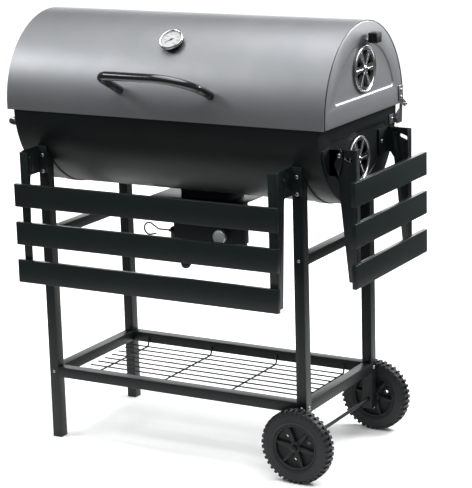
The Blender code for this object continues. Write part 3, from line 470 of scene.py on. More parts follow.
def ventSeat(side, half):
    # round raised seat that the vent disc turns on
    edge = vent["seat"]
    floor = half["face"] - field["depth"] - 0.0002
    top = half["face"] - 0.0001 - floor
    bm = bmesh.new()
    spinProfile(bm, [(0.0, 0.0), (edge, 0.0), (edge, half["face"] - vent["seatRim"] - floor),
                     (edge - vent["seatRim"], top), (0.0, top)], 64)
    bmesh.ops.transform(bm, matrix=aim((side, 0, 0), (side * floor, axisY, half["vent"])), verts=bm.verts)
    return bm


def endPlate(word, side, half):
    # a plate with a rounded rim and a field pressed back from it; the right one also seats a vent
    name = half["name"] + "_end_" + word
    face = half["face"]
    inner = face - half["depth"]
    bm = bmesh.new()
    extrudeLoop(bm, [(side * inner, y, z) for y, z in half["outline"](half["radius"])],
                (side * (face - inner), 0, 0))
    rim = [e for e in sharpEdges(bm, 40.0) if all(abs(abs(v.co.x) - face) < weld for v in e.verts)]
    bevelEdges(bm, rim, shell["rim"], 4)
    bm = cutMesh(name + "_field", bm, fieldTool(name + "_pocket", side, half))
    if side > 0:
        cut = []
        for part, solid in (("plate", bm), ("seat", ventSeat(side, half))):
            tool = sectorTool(name + "_holes", half["vent"], side * (inner - 0.01), side * (face + 0.01))
            cut.append(cutMesh(name + "_" + part, solid, tool))
        bm, seat = cut
        joinCopy(bm, templateMesh(name + "_seat", seat), Matrix.Identity(4))
    finishPiece(name, bm, half["body"], half["look"], replaces=(half["name"] + "_end_plate_" + word,),
                sharp=30.0)


lidHalf = {"name": "lid", "outline": lidPlateOutline, "radius": shell["lidRadius"] - shell["seam"],
           "centre": lidCentre, "flat": 0.7920, "sign": 1, "face": lidFace, "depth": 0.0050,
           "vent": lidVentZ, "body": "lid", "look": "lid_enamel"}
barrelHalf = {"name": "barrel", "outline": barrelOutline, "radius": shell["barrelRadius"] - shell["seam"],
              "centre": barrelCentre, "flat": 0.7200, "sign": -1, "face": barrelFace, "depth": 0.0045,
              "vent": lowerVentZ, "body": "frame", "look": "barrel_enamel"}
curvedShell("lid_skin", lidOutline, shell["lidRadius"], lidFace - shell["lip"], "lid",
            "lid_enamel", "lid_shell")
curvedShell("barrel_skin", barrelOutline, shell["barrelRadius"], barrelFace - shell["lip"],
            "frame", "barrel_enamel", "barrel_shell", ashHoleTool())
for word, side in (("left", -1), ("right", 1)):
    # a dark ring of painted shade in the lid's seam at this end
    seamShadeRing("lid_fold_" + word, side)
    endPlate(word, side, lidHalf)
    endPlate(word, side, barrelHalf)
print("shells made")


def ventDisc(name, z, face, body, node):
    # bright rolled ring around a thin disc with pie-shaped holes, and a rivet in the middle
    edge = ventRadius
    ring = vent["ring"]
    profile = [(0.0, 0.0001), (edge - 0.0006, 0.0001)]
    for i in range(9):
        angle = math.radians(-60 + 200 * i / 8)
        profile.append((edge - ring / 2 + ring / 2 * math.cos(angle), 0.0018 + 0.0019 * math.sin(angle)))
    profile += [(edge - ring - 0.0004, 0.0014), (0.0085, 0.0016), (0.0065, 0.0022)]
    profile += [(0.0058 * math.cos(math.radians(a)), 0.0022 + 0.0024 * math.sin(math.radians(a)))
                for a in (10, 30, 50, 70)]
    profile.append((0.0, 0.0046))
    bm = bmesh.new()
    spinProfile(bm, profile, 96)
    bmesh.ops.transform(bm, matrix=aim((1, 0, 0), (face, axisY, z)), verts=bm.verts)
    bm = cutMesh(name, bm, sectorTool(name, z, face - 0.01, face + 0.02))
    finishPiece(name, bm, body, "vent_steel", replaces=(node,), sharp=30.0)


beads = {"from": 0.0100, "to": 0.0400, "lift": 0.0016, "radius": 0.0011}


def ventRidges(name, z, face, body):
    # raised beads pressed along the spokes between the holes
    bm = bmesh.new()
    for i in range(vent["sectors"]):
        angle = math.radians(90.0 + 360.0 * (i + 0.5) / vent["sectors"])
        points = []
        for k in range(4):
            r = beads["from"] + (beads["to"] - beads["from"]) * k / 3
            points.append((face + beads["lift"], axisY + r * math.cos(angle), z + r * math.sin(angle)))
        sweepTube(bm, points, beads["radius"], 10, True)
    finishPiece(name, bm, body, "bright_chrome")


grip = {"ribs": 6, "ribDepth": 0.0014, "slope": 0.2, "tabFoot": 0.044, "tabBend": 0.0580,
        "tabTop": 0.0600, "tabLow": 0.0002, "tabHigh": 0.0018, "tabInto": 0.002, "tabInset": 0.005}


def ventTab(low, high):
    # sheet tab that stands up from the disc and carries the grip
    near = lidVentFace + grip["tabLow"]
    top = lidVentFace + grip["tabHigh"]
    end = low.x + grip["tabInto"]
    outline = [(near, grip["tabFoot"]), (top, grip["tabFoot"]), (top, grip["tabBend"]),
               (end, grip["tabBend"]), (end, grip["tabTop"]), (near, grip["tabTop"])]
    bm = bmesh.new()
    extrudeLoop(bm, [(x, low.y + grip["tabInset"], lidVentZ + z) for x, z in outline],
                (0, high.y - low.y - 2 * grip["tabInset"], 0))
    bevelEdges(bm, sharpEdges(bm), 0.0003, 2)
    finishPiece("lid_vent_tab", bm, "lid_vent", "vent_steel")


def ventGrip(low, high):
    # black block with ribs across its top and bottom
    span = (high.x - low.x) / grip["ribs"]
    outline = []
    for start, way, edge, valley in ((low.x, 1, high.z, high.z - grip["ribDepth"]),
                                     (high.x, -1, low.z, low.z + grip["ribDepth"])):
        for i in range(grip["ribs"]):
            x = start + way * span * i
            ramp = way * span * grip["slope"]
            outline += [(x, valley), (x + ramp, edge), (x + way * span - ramp, edge)]
        outline.append((start + way * span * grip["ribs"], valley))
    bm = bmesh.new()
    extrudeLoop(bm, [(x, low.y, z) for x, z in outline], (0, high.y - low.y, 0))
    bevelEdges(bm, sharpEdges(bm, 60.0), 0.0006, 2)
    finishPiece("vent_grip", bm, "lid_vent", "black_plastic", replaces=("lid_vent_grip",))


lidVentFace = lidFace + vent["overFace"]
lowerVentFace = barrelFace + vent["overFace"]
ventDisc("lid_vent_plate", lidVentZ, lidVentFace, "lid_vent", "lid_vent_disc")
ventDisc("lower_vent_plate", lowerVentZ, lowerVentFace, "lower_vent", "lower_vent_disc")
ventRidges("lid_vent_beads", lidVentZ, lidVentFace, "lid_vent")
ventRidges("lower_vent_beads", lowerVentZ, lowerVentFace, "lower_vent")
ventTab(*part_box("lid_vent_grip"))
ventGrip(*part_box("lid_vent_grip"))
print("vents made")


def panHead():
    # domed head with a cross recess, 1 unit in radius, standing on z = 0
    bm = bmesh.new()
    profile = [(0.0, 0.0), (1.0, 0.0), (1.0, 0.16)]
    profile += [(math.cos(math.radians(a)), 0.16 + 0.55 * math.sin(math.radians(a)))
                for a in (20, 40, 60, 78)]
    profile.append((0.0, 0.71))
    spinProfile(bm, profile, 24)
    w, r = 0.11, 0.575          # half the width and half the length of a bar of the cross
    outline = [(w, w), (w, r), (-w, r), (-w, w), (-r, w), (-r, -w), (-w, -w), (-w, -r), (w, -r),
               (w, -w), (r, -w), (r, w)]
    cross = bmesh.new()
    extrudeLoop(cross, [(x, y, 0.38) for x, y in outline], (0, 0, 0.8))
    return templateMesh("pan_head", cutMesh("pan_head", bm, templateMesh("cross", cross)))


def hexNut():
    # six-sided nut with chamfered corners and a domed bolt end, 1 unit across its corners / 2
    bm = bmesh.new()
    bmesh.ops.create_cone(bm, cap_ends=True, segments=6, radius1=1.0, radius2=1.0, depth=0.8)
    bmesh.ops.translate(bm, vec=(0, 0, 0.4), verts=bm.verts)
    bevelEdges(bm, [e for e in bm.edges if e.calc_length() > 0.9], 0.06, 2)
    end = bmesh.new()
    spinProfile(end, [(0.0, 0.1), (0.52, 0.1), (0.52, 1.10), (0.42, 1.22), (0.0, 1.22)], 20)
    joinCopy(bm, templateMesh("bolt_end", end), Matrix.Identity(4))
    return templateMesh("hex_nut", bm)


headMesh = panHead()
nutMesh = hexNut()


def fastenerGroup(name, template, places, body, look="zinc_plate"):
    # places holds (point on the surface, direction it faces, radius)
    bm = bmesh.new()
    for place, direction, radius in places:
        matrix = aim(direction, place) @ Matrix.Diagonal((radius, radius, radius, 1.0))
        joinCopy(bm, template, matrix)
    finishPiece(name, bm, body, look, sharp=40.0)


handle = {"angle": math.radians(18.6), "foot": math.radians(14.1), "out": 0.0928,
          "left": -0.0965, "right": 0.1240, "bends": (0.027, 0.088), "tube": 0.0095}


def lidPoint(angle, radius, x=0.0):
    return Vector((x, lidCentre[0] - radius * math.cos(angle), lidCentre[1] + radius * math.sin(angle)))


def lidHandle():
    # bent tube; its ends run a little way into the lid's skin
    base = shell["lidRadius"] - 0.0020
    out = shell["lidRadius"] + handle["out"]
    left, right = handle["left"], handle["right"]
    corners = [lidPoint(handle["foot"], base, left), lidPoint(handle["angle"], out, left),
               lidPoint(handle["angle"], out, right), lidPoint(handle["foot"], base, right)]
    bm = bmesh.new()
    sweepTube(bm, smoothPath(corners, handle["bends"], 20), handle["tube"] - 0.0001, 28)
    finishPiece("lid_handle_tube", bm, "lid", "handle_gloss", replaces=("lid_handle",), sharp=60.0)


carry = {"tube": 0.0065, "bend": 0.030, "washer": 0.0115, "washerThick": 0.0020}


def carryHandle():
    low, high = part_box("carry_handle")
    z = (low.z + high.z) / 2
    outer = low.x + carry["tube"]
    inner = high.x
    ends = (low.y + carry["tube"], high.y - carry["tube"])
    corners = [(inner, ends[0], z), (outer, ends[0], z), (outer, ends[1], z), (inner, ends[1], z)]
    bm = bmesh.new()
    sweepTube(bm, smoothPath(corners, (carry["bend"], carry["bend"])), carry["tube"], 24)
    finishPiece("carry_handle_tube", bm, "frame", "handle_steel", replaces=("carry_handle",), sharp=60.0)
    bm = bmesh.new()
    edge, thick = carry["washer"], carry["washerThick"]
    for y in ends:
        foot = bmesh.new()
        spinProfile(foot, [(0.0, 0.0), (edge, 0.0), (edge, 0.0012), (edge - 0.0010, thick),
                           (0.0072, thick), (0.0, thick)], 28)
        joinCopy(bm, templateMesh("foot", foot), aim((-1, 0, 0), (inner + 0.0001, y, z)))
    finishPiece("carry_handle_washers", bm, "frame", "handle_steel")


dial = {"angle": math.radians(48.5), "at": 0.0050, "radius": 0.0272, "sweep": (225.0, -45.0),
        "marks": 28, "every": 4,              # every fourth mark is a long one
        "longMark": (0.0034, 0.00055), "shortMark": (0.0018, 0.00035), "markTop": 0.0066,
        "numbers": 8, "firstNumber": 50, "numberStep": 50, "numberSize": 0.0036, "numberRing": 0.0128,
        "needleTurn": 215}


def dialFrame():
    # the dial's own frame: x to the right, y up the lid, z out of the face
    out = lidPoint(dial["angle"], 1.0) - lidPoint(dial["angle"], 0.0)
    right = Vector((1, 0, 0))
    up = out.cross(right)
    turn = Matrix((right, up, out)).transposed().to_4x4()
    return Matrix.Translation(lidPoint(dial["angle"], shell["lidRadius"] + 0.0006, dial["at"])) @ turn


def dialPiece(name, bm, look, replaces=()):
    bmesh.ops.transform(bm, matrix=dialFrame(), verts=bm.verts)
    finishPiece(name, bm, "lid", look, replaces=replaces)


def dialTurn(share):
    # angle of a mark that is this share of the way round the scale
    start, end = dial["sweep"]
    return math.radians(start + (end - start) * share)


def dialMarks(edge):
    bm = bmesh.new()
    for i in range(dial["marks"] + 1):
        reach, width = dial["shortMark"] if i % dial["every"] else dial["longMark"]
        verts = addBlock(bm, (reach, width, 0.00012), (edge - dial["markTop"] - reach / 2, 0, 0.01176))
        turn = Matrix.Rotation(dialTurn(i / dial["marks"]), 3, "Z")
        bmesh.ops.rotate(bm, cent=(0, 0, 0), matrix=turn, verts=verts)
    radius = edge - dial["numberRing"]
    for i in range(dial["numbers"]):              # plain degree numbers round the dial
        turn = dialTurn(i / (dial["numbers"] - 1))
        addNumber(bm, str(dial["firstNumber"] + dial["numberStep"] * i),
                  (radius * math.cos(turn), radius * math.sin(turn), 0.01171), dial["numberSize"])
    dialPiece("thermometer_marks", bm, "dial_ink")


def addNumber(bm, words, place, size):
    curve = bpy.data.curves.new("number", "FONT")
    curve.body = words
    curve.size = size
    curve.align_x = "CENTER"
    curve.align_y = "CENTER"
    curve.extrude = 0.00004
    curve.resolution_u = 3
    holder = linked("number", curve)
    bpy.context.view_layer.update()
    made = bpy.data.meshes.new_from_object(holder.evaluated_get(bpy.context.evaluated_depsgraph_get()))
    bpy.data.objects.remove(holder)
    joinCopy(bm, made, Matrix.Translation(place))


def dialNeedle():
    bm = bmesh.new()
    outline = [(-0.0050, -0.0009), (-0.0050, 0.0009), (0.0, 0.0008), (0.0150, 0.0002), (0.0150, -0.0002),
               (0.0, -0.0008)]
    extrudeLoop(bm, [(x, y, 0.0122) for x, y in outline], (0, 0, 0.0004))
    turn = Matrix.Rotation(math.radians(dial["needleTurn"]), 3, "Z")
    bmesh.ops.rotate(bm, cent=(0, 0, 0), matrix=turn, verts=bm.verts)
    hub = bmesh.new()
    spinProfile(hub, [(0.0, 0.0118), (0.0022, 0.0118), (0.0022, 0.0130), (0.0016, 0.0134),
                      (0.0, 0.0134)], 20)
    joinCopy(bm, templateMesh("needle_hub", hub), Matrix.Identity(4))
    dialPiece("thermometer_needle", bm, "dial_needle")


def thermometer():
    # probe and cup, rolled bezel, card, scale and needle
    edge = dial["radius"]
    bm = bmesh.new()
    spinProfile(bm, [(0.0, -0.0600), (0.0020, -0.0595), (0.0032, -0.0580), (0.0032, 0.0001),
                     (0.0205, 0.0001), (0.0225, 0.0010), (0.0238, 0.0030), (0.0240, 0.0045),
                     (0.0240, 0.0087), (0.0, 0.0087)], 48)
    dialPiece("thermometer_cup", bm, "black_plastic", replaces=("thermometer_body",))
    bm = bmesh.new()
    spinProfile(bm, [(0.0, 0.0089), (edge - 0.0030, 0.0089), (edge - 0.0008, 0.0096), (edge, 0.0108),
                     (edge, 0.0128), (edge - 0.0008, 0.0143), (edge - 0.0022, 0.0151),
                     (edge - 0.0036, 0.0149), (edge - 0.0046, 0.0140), (edge - 0.0050, 0.0128),
                     (edge - 0.0051, 0.0105), (0.0, 0.0105)], 64)
    dialPiece("thermometer_bezel", bm, "bright_chrome", replaces=("thermometer_dial",))
    bm = bmesh.new()
    spinProfile(bm, [(0.0, 0.0106), (edge - 0.0052, 0.0106), (edge - 0.0052, 0.0117), (0.0, 0.0117)], 64)
    dialPiece("thermometer_card", bm, "dial_card")
    dialMarks(edge)
    dialNeedle()


lidHandle()
carryHandle()
thermometer()
print("handles and thermometer made")


rolled = {"tube": 0.0013, "slat": 0.0011, "drawer": 0.0007, "grate": 0.0007, "sheet": 0.0006,
          "strap": 0.0005, "hinge": 0.0004, "axle": 0.0004}       # radius of the rolled edges

for word in ("leg_front_left", "leg_front_right", "leg_rear_left", "leg_rear_right", "rail_front",
             "rail_rear", "lower_crossbar_left", "lower_crossbar_right", "upper_crossbar_left",
             "upper_crossbar_right"):
    softened(word, "frame", "frame_paint", rolled["tube"], 3)
for word in ("saddle_strap_left", "saddle_strap_right"):
    softened(word, "frame", "frame_paint", rolled["strap"])
for i in (1, 2, 3):
    softened(f"front_slat_{i}", "front_table", "table_paint", rolled["slat"], 3)
    softened(f"side_slat_{i}", "side_table", "table_paint", rolled["slat"], 3)
for word in ("left", "right"):
    softened("front_arm_" + word, "front_table", "table_paint", rolled["sheet"])
    softened("front_bracket_" + word, "frame", "table_paint", rolled["sheet"])
    softened("hinge_lower_" + word, "frame", "zinc_plate", rolled["hinge"])
    softened("hinge_upper_" + word, "lid", "zinc_plate", rolled["hinge"])
for word in ("front", "rear"):
    softened("side_arm_" + word, "side_table", "table_paint", rolled["sheet"])
    softened("side_bracket_" + word, "frame", "table_paint", rolled["sheet"])
for word in ("ash_duct", "ash_housing", "damper_bracket"):
    softened(word, "frame", "ash_paint", rolled["sheet"])
softened("ash_drawer", "ash_drawer_unit", "ash_paint", rolled["drawer"], 3)
for word in ("cooking_grate_left", "cooking_grate_right", "charcoal_grate"):
    softened(word, "frame", "grate_steel", rolled["grate"])
softened("axle", "frame", "frame_paint", rolled["axle"])
print("folded metal made")


plug = {"wall": 0.0018, "height": 0.012, "middle": 0.0064, "edge": 0.0010}


def legCaps():
    # black plastic plugs in the open tube ends
    bm = bmesh.new()
    for word in ("front_left", "rear_left", "front_right", "rear_right"):
        low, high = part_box("leg_" + word)
        addBlock(bm, (high.x - low.x - 2 * plug["wall"], high.y - low.y - 2 * plug["wall"], plug["height"]),
                 ((low.x + high.x) / 2, (low.y + high.y) / 2, low.z + plug["middle"]))
    bevelEdges(bm, sharpEdges(bm), plug["edge"], 2)
    finishPiece("leg_plugs", bm, "frame", "black_plastic")


rack = {"wires": 10, "halfSpread": 0.1305, "long": 0.0017, "cross": 0.0020, "longUp": 0.0046,
        "hookBend": 0.008, "crossAt": (-0.2575, -0.0860, 0.0860, 0.2575)}


def wireRack():
    low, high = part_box("wire_rack")
    longZ = low.z + rack["longUp"]
    reach = (high.x - low.x) / 2
    bm = bmesh.new()
    for i in range(rack["wires"]):
        y = axisY - rack["halfSpread"] + 2 * rack["halfSpread"] * i / (rack["wires"] - 1)
        sweepTube(bm, [(-reach, y, longZ), (reach, y, longZ)], rack["long"], 12, True)
    front, rear = low.y + rack["cross"], high.y - rack["cross"]
    hookTop, bottom = high.z - 0.0002, low.z + rack["cross"]
    for x in rack["crossAt"]:
        corners = [(x, front, hookTop), (x, front, bottom), (x, rear, bottom), (x, rear, hookTop)]
        sweepTube(bm, smoothPath(corners, (rack["hookBend"],) * 2, 6), rack["cross"], 12)
    finishPiece("rack_wires", bm, "frame", "frame_paint", replaces=("wire_rack",), sharp=50.0)


wheel = {"lugs": 40, "lugHeight": 0.0034, "lugLean": 0.0016, "tyreInner": 0.0503,
         "lugsFrom": 0.0712, "rampFrom": 0.0700,          # radii where the tread's blocks begin
         "spokes": 6, "holes": 3, "holeRadius": 0.0042, "holeRing": 0.0300, "hubSteps": 72}


def standWheel(bm, low, high):
    # turns a wheel part's axis from Z to the axle and takes it to its place
    bmesh.ops.rotate(bm, cent=(0, 0, 0), matrix=Matrix.Rotation(math.radians(-90), 3, "X"), verts=bm.verts)
    centre = Vector(((low.x + high.x) / 2, low.y, (low.z + high.z) / 2))
    bmesh.ops.translate(bm, vec=centre, verts=bm.verts)


def treadBlocks(bm, w, steps):
    # the faces of the tread's blocks, by slice and shoulder; the two shoulders take turns
    blocks = {}
    for face in bm.faces:
        middle = face.calc_center_median()
        slot = int(math.floor((math.atan2(middle.y, middle.x) % math.tau) / (math.tau / steps)))
        first = middle.z < w / 2
        if math.hypot(middle.x, middle.y) > wheel["lugsFrom"] and (slot % 2 == 0) == first:
            blocks.setdefault((slot, first), []).append(face)
    return [blocks[key] for key in sorted(blocks)]


def tyre(word):
    # moulded tread: staggered blocks on both shoulders, ribs on the side walls
    low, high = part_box("tyre_" + word)
    w = high.y - low.y
    base = (high.x - low.x) / 2 - wheel["lugHeight"]
    shoulder = base - 0.0012
    side = [(wheel["tyreInner"], 0.0020), (0.0540, 0.0008), (0.0560, 0.0002), (0.0580, 0.0008),
            (0.0640, 0.0004), (0.0705, 0.0012), (shoulder, 0.0040), (base, 0.0062)]
    profile = side + [(base, w * 0.5)] + [(r, w - h) for r, h in reversed(side)]
    steps = wheel["lugs"] * 2
    bm = bmesh.new()
    spinProfile(bm, profile, steps, closed=True)
    for faces in treadBlocks(bm, w, steps):
        made = bmesh.ops.extrude_face_region(bm, geom=faces)
        for vert in [g for g in made["geom"] if isinstance(g, bmesh.types.BMVert)]:
            r = math.hypot(vert.co.x, vert.co.y)
            rise = (r - wheel["rampFrom"]) / (shoulder - wheel["rampFrom"])
            grow = wheel["lugHeight"] * min(1.0, max(0.0, rise))
            scale = (r + grow) / r
            vert.co.x *= scale
            vert.co.y *= scale
            if wheel["lugsFrom"] < r < base - 0.0001:
                vert.co.z += -wheel["lugLean"] if vert.co.z < w / 2 else wheel["lugLean"]
        bmesh.ops.delete(bm, geom=faces, context="FACES")
    bmesh.ops.remove_doubles(bm, verts=bm.verts, dist=weld)
    bmesh.ops.recalc_face_normals(bm, faces=bm.faces)
    standWheel(bm, low, high)
    finishPiece("tyre_" + word + "_tread", bm, "wheel_" + word, "tyre_plastic",
                replaces=("tyre_" + word,), sharp=28.0)


def hub(word):
    # dished web with six ribs, round holes, and a boss on the axle
    low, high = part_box("hub_" + word)
    w = high.y - low.y
    side = [(0.0045, 0.0), (0.0112, 0.0), (0.0122, 0.0010), (0.0130, 0.0100), (0.0150, 0.0108),
            (0.0420, 0.0108), (0.0438, 0.0098), (0.0448, 0.0020), (0.0458, 0.0010), (0.0492, 0.0010),
            (0.0500, 0.0020)]
    bm = bmesh.new()
    spinProfile(bm, side + [(r, w - h) for r, h in reversed(side)], wheel["hubSteps"], closed=True)
    tool = bmesh.new()
    for i in range(wheel["holes"]):
        angle = math.radians(100 + 360 * i / wheel["holes"])
        made = bmesh.ops.create_cone(tool, cap_ends=True, segments=24, radius1=wheel["holeRadius"],
                                     radius2=wheel["holeRadius"], depth=0.08)
        place = (wheel["holeRing"] * math.cos(angle), wheel["holeRing"] * math.sin(angle), 0)
        bmesh.ops.translate(tool, vec=place, verts=made["verts"])
    bm = cutMesh("hub_" + word, bm, templateMesh("hub_holes", tool))
    ribs = bmesh.new()
    outline = [(0.0115, -0.0052), (0.0450, -0.0030), (0.0450, 0.0030), (0.0115, 0.0052)]
    for i in range(wheel["spokes"]):
        turn = Matrix.Rotation(math.radians(360 * i / wheel["spokes"] + 70), 4, "Z")
        for start, end in ((0.0030, 0.0110), (w - 0.0110, w - 0.0030)):
            rib = bmesh.new()
            extrudeLoop(rib, [(x, y, start) for x, y in outline], (0, 0, end - start))
            bevelEdges(rib, sharpEdges(rib), 0.0010, 2)
            joinCopy(ribs, templateMesh("rib", rib), turn)
    joinCopy(bm, templateMesh("ribs", ribs), Matrix.Identity(4))
    standWheel(bm, low, high)
    finishPiece("hub_" + word + "_web", bm, "wheel_" + word, "wheel_plastic", replaces=("hub_" + word,))


legCaps()
wireRack()
for word in ("front", "rear"):
    tyre(word)
    hub(word)
print("rack and wheels made")


def ashKnob():
    # turned knob: a thin neck, a wide head and a slightly hollow end
    low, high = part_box("ash_knob")
    radius = (high.x - low.x) / 2
    depth = high.y - low.y
    centre = ((low.x + high.x) / 2, high.y, (low.z + high.z) / 2)
    profile = [(0.0, 0.0), (0.0064, 0.0), (0.0060, 0.0012), (0.0058, depth * 0.36), (0.0075, depth * 0.42)]
    profile += [(radius - back, depth * share)
                for back, share in ((0.0020, 0.48), (0.0003, 0.58), (0.0, 0.68), (0.0, 0.86),
                                    (0.0006, 0.95), (0.0020, 1.0), (0.0036, 0.985))]
    profile.append((0.0, depth * 0.97))
    bm = bmesh.new()
    spinProfile(bm, profile, 56)
    bmesh.ops.transform(bm, matrix=aim((0, -1, 0), centre), verts=bm.verts)
    finishPiece("ash_knob_turned", bm, "ash_drawer_unit", "knob_steel", replaces=("ash_knob",), sharp=40.0)


def latchKnob():
    low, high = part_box("latch_knob")
    radius = (high.x - low.x) / 2
    centre = Vector(((low.x + high.x) / 2, (low.y + high.y) / 2, low.z))
    bm = bmesh.new()
    profile = [(0.0, 0.0)]
    profile += [(radius * math.sin(math.radians(a)), radius - radius * math.cos(math.radians(a)))
                for a in range(15, 166, 15)]
    profile += [(0.0040, radius * 2 - 0.0002), (0.0036, high.z - low.z), (0.0, high.z - low.z)]
    spinProfile(bm, profile, 40)
    bmesh.ops.translate(bm, vec=centre, verts=bm.verts)
    finishPiece("latch_knob_ball", bm, "frame", "black_plastic", replaces=("latch_knob",), sharp=40.0)


damper = {"wire": 0.0019, "underTop": 0.0110, "straight": 0.0695, "loop": 0.0135,
          "nuts": (0.0280, 0.0345, 0.0415), "nutRadius": 0.0042, "nutThick": 0.0038}


def damperCrank():
    # bent wire with an open loop for a finger, threaded through nuts
    low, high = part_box("damper_crank")
    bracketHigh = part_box("damper_bracket")[1]
    y = (low.y + high.y) / 2
    z = bracketHigh.z - damper["underTop"]
    bend = bracketHigh.x - damper["straight"]
    loop = arcPoints((bend - 0.024, z - 0.001), damper["loop"], 45.0, 290.0, 28)
    points = [(high.x, y, z), (bend, y, z)] + [(u, y, v) for u, v in loop]
    points.append((bend - 0.008, y, z - 0.0115))
    bm = bmesh.new()
    sweepTube(bm, points, damper["wire"], 14, True)
    size = Matrix.Diagonal((damper["nutRadius"], damper["nutRadius"], damper["nutThick"], 1))
    for out in damper["nuts"]:
        joinCopy(bm, nutMesh, aim((1, 0, 0), (bracketHigh.x - out, y, z)) @ size)
    finishPiece("damper_wire", bm, "damper", "frame_paint", replaces=("damper_crank",), sharp=45.0)


ashKnob()
latchKnob()
damperCrank()
print("ash box made")


bolt = {
    "bracket": 0.0043, "screw": 0.0032, "pivot": 0.0050, "leg": 0.0042, "rail": 0.0036,      # radii
    "hinge": 0.0042, "side": 0.0040, "saddle": 0.0040,
    "bracketZ": (0.6500, 0.6140), "webFront": 0.0023, "aside": 0.001, "slatIn": 0.0021,
    "frontPivot": (-0.2220, 0.6520),       # from the barrel's axis, and height
    "sidePivot": (0.3950, 0.6940), "sidePivotFront": -0.1395,
    "lowerFrameZ": 0.1545, "upperFrameZ": 0.4730,
    "lidHingeZ": (0.0240, 0.0390), "lidHingeIn": 0.0100, "hingeIn": 0.0110, "hingeZ": 0.7180,
    "overPlate": 0.0023, "sideIn": 0.0110, "sideZ": 0.6790,
}


def middleOf(node):
    low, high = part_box(node)
    return (low.x + high.x) / 2, (low.y + high.y) / 2, (low.z + high.z) / 2


def slatScrews():
    front = []
    side = []
    for i in (1, 2, 3):
        z = middleOf(f"front_slat_{i}")[2]
        for word, sign in (("left", 1), ("right", -1)):
            arm = "front_arm_" + word
            place = (middleOf(arm)[0] + sign * bolt["aside"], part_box(arm)[0].y + bolt["slatIn"], z)
            front.append((place, (0, 1, 0), bolt["screw"]))
        z = middleOf(f"side_slat_{i}")[2]
        for word, sign in (("front", 1), ("rear", -1)):
            arm = "side_arm_" + word
            place = (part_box(arm)[1].x - bolt["slatIn"], middleOf(arm)[1] + sign * bolt["aside"], z)
            side.append((place, (-1, 0, 0), bolt["screw"]))
    fastenerGroup("front_slat_screws", headMesh, front, "front_table")
    fastenerGroup("side_slat_screws", headMesh, side, "side_table")


def tableBolts():
    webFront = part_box("leg_front_left")[0].y - bolt["webFront"]
    brackets = []
    pivots = []
    for word in ("left", "right"):
        node = "front_bracket_" + word
        for z in bolt["bracketZ"]:
            place = (middleOf(node)[0] + bolt["aside"], webFront, z)
            brackets.append((place, (0, -1, 0), bolt["bracket"]))
        place = (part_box(node)[0].x - 0.0001, axisY + bolt["frontPivot"][0], bolt["frontPivot"][1])
        pivots.append((place, (-1, 0, 0), bolt["pivot"]))
    x, z = bolt["sidePivot"]
    for way, y in ((-1, axisY + bolt["sidePivotFront"]), (1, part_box("side_bracket_rear")[1].y)):
        pivots.append(((x, y + way * 0.0001, z), (0, way, 0), bolt["pivot"]))
    fastenerGroup("bracket_bolts", headMesh, brackets, "frame")
    slatScrews()
    fastenerGroup("pivot_bolts", headMesh, pivots, "frame")


def frameBolts():
    places = []
    for word, wayX, wayY in (("front_left", -1, -1), ("rear_left", -1, 1), ("front_right", 1, -1),
                             ("rear_right", 1, 1)):
        low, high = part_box("leg_" + word)
        x, y, _ = middleOf("leg_" + word)
        outerX = low.x if wayX < 0 else high.x
        outerY = low.y if wayY < 0 else high.y
        places.append(((outerX, y, bolt["lowerFrameZ"]), (wayX, 0, 0), bolt["leg"]))
        places.append(((x, outerY, bolt["upperFrameZ"]), (0, wayY, 0), bolt["rail"]))
        places.append(((x, outerY, bolt["lowerFrameZ"]), (0, wayY, 0), bolt["rail"]))
    fastenerGroup("frame_bolts", headMesh, places, "frame")


def hingeBolts():
    upper = []
    lower = []
    for word, side in (("left", -1), ("right", 1)):
        end = 1 if side > 0 else 0           # the box corner that lies outwards
        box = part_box("hinge_upper_" + word)
        for up in bolt["lidHingeZ"]:
            place = (box[end].x, box[0].y + bolt["lidHingeIn"], box[0].z + up)
            upper.append((place, (side, 0, 0), bolt["hinge"]))
        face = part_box("barrel_end_plate_" + word)[end].x + side * bolt["overPlate"]
        place = (face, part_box("hinge_lower_" + word)[0].y + bolt["hingeIn"], bolt["hingeZ"])
        lower.append((place, (side, 0, 0), bolt["hinge"]))
    fastenerGroup("lid_hinge_bolts", headMesh, upper, "lid")
    fastenerGroup("barrel_hinge_bolts", headMesh, lower, "frame")


tableBolts()
frameBolts()
hingeBolts()
sidePlace = (barrelFace + bolt["overPlate"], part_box("side_bracket_rear")[0].y + bolt["sideIn"], bolt["sideZ"])
fastenerGroup("side_bracket_bolts", headMesh, [(sidePlace, (1, 0, 0), bolt["side"])], "frame")
saddles = []
for word in ("left", "right"):
    strap = "saddle_strap_" + word
    saddles.append(((middleOf(strap)[0], axisY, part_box(strap)[0].z), (0, 0, -1), bolt["saddle"]))
fastenerGroup("saddle_bolts", headMesh, saddles, "frame")
print("fasteners made")


studio = {
    "world": 0.20,
    "air": (0.96, 0.98, 1.0, 1.0),
    "lights": (
        # name, place, target, size x, size y, watts
        ("top", (0.2, 0.6, 3.8), (0.0, 0.0, 0.0), 3.0, 2.4, 60.0),
        ("key", (-1.75, -1.42, 2.32), (-0.3, -0.15, 0.86), 1.2, 0.60, 21.0),
        ("right", (1.15, 0.95, 1.40), (0.39, 0.0, 0.95), 0.7, 0.6, 30.0),
        ("back", (-0.9, 3.2, 1.30), (0.0, 0.0, 0.70), 4.2, 1.2, 48.0),
    ),
    "sun": 3.4,
    "sunSpread": 70,
    "sunTurn": (12, 8),
    "floorSize": 40.0,
    "floorDown": 0.0005,
    "floorTones": (0.94, 0.92),
    "floorNear": 0.45,      # how far out the floor stays pale in reflections
    "floorFar": 1.50,
    # painted shade: the tone the floor takes in reflections away from the grill
    "floorDark": 0.06,
}


def grey(tone):
    return (tone, tone, tone, 1.0)


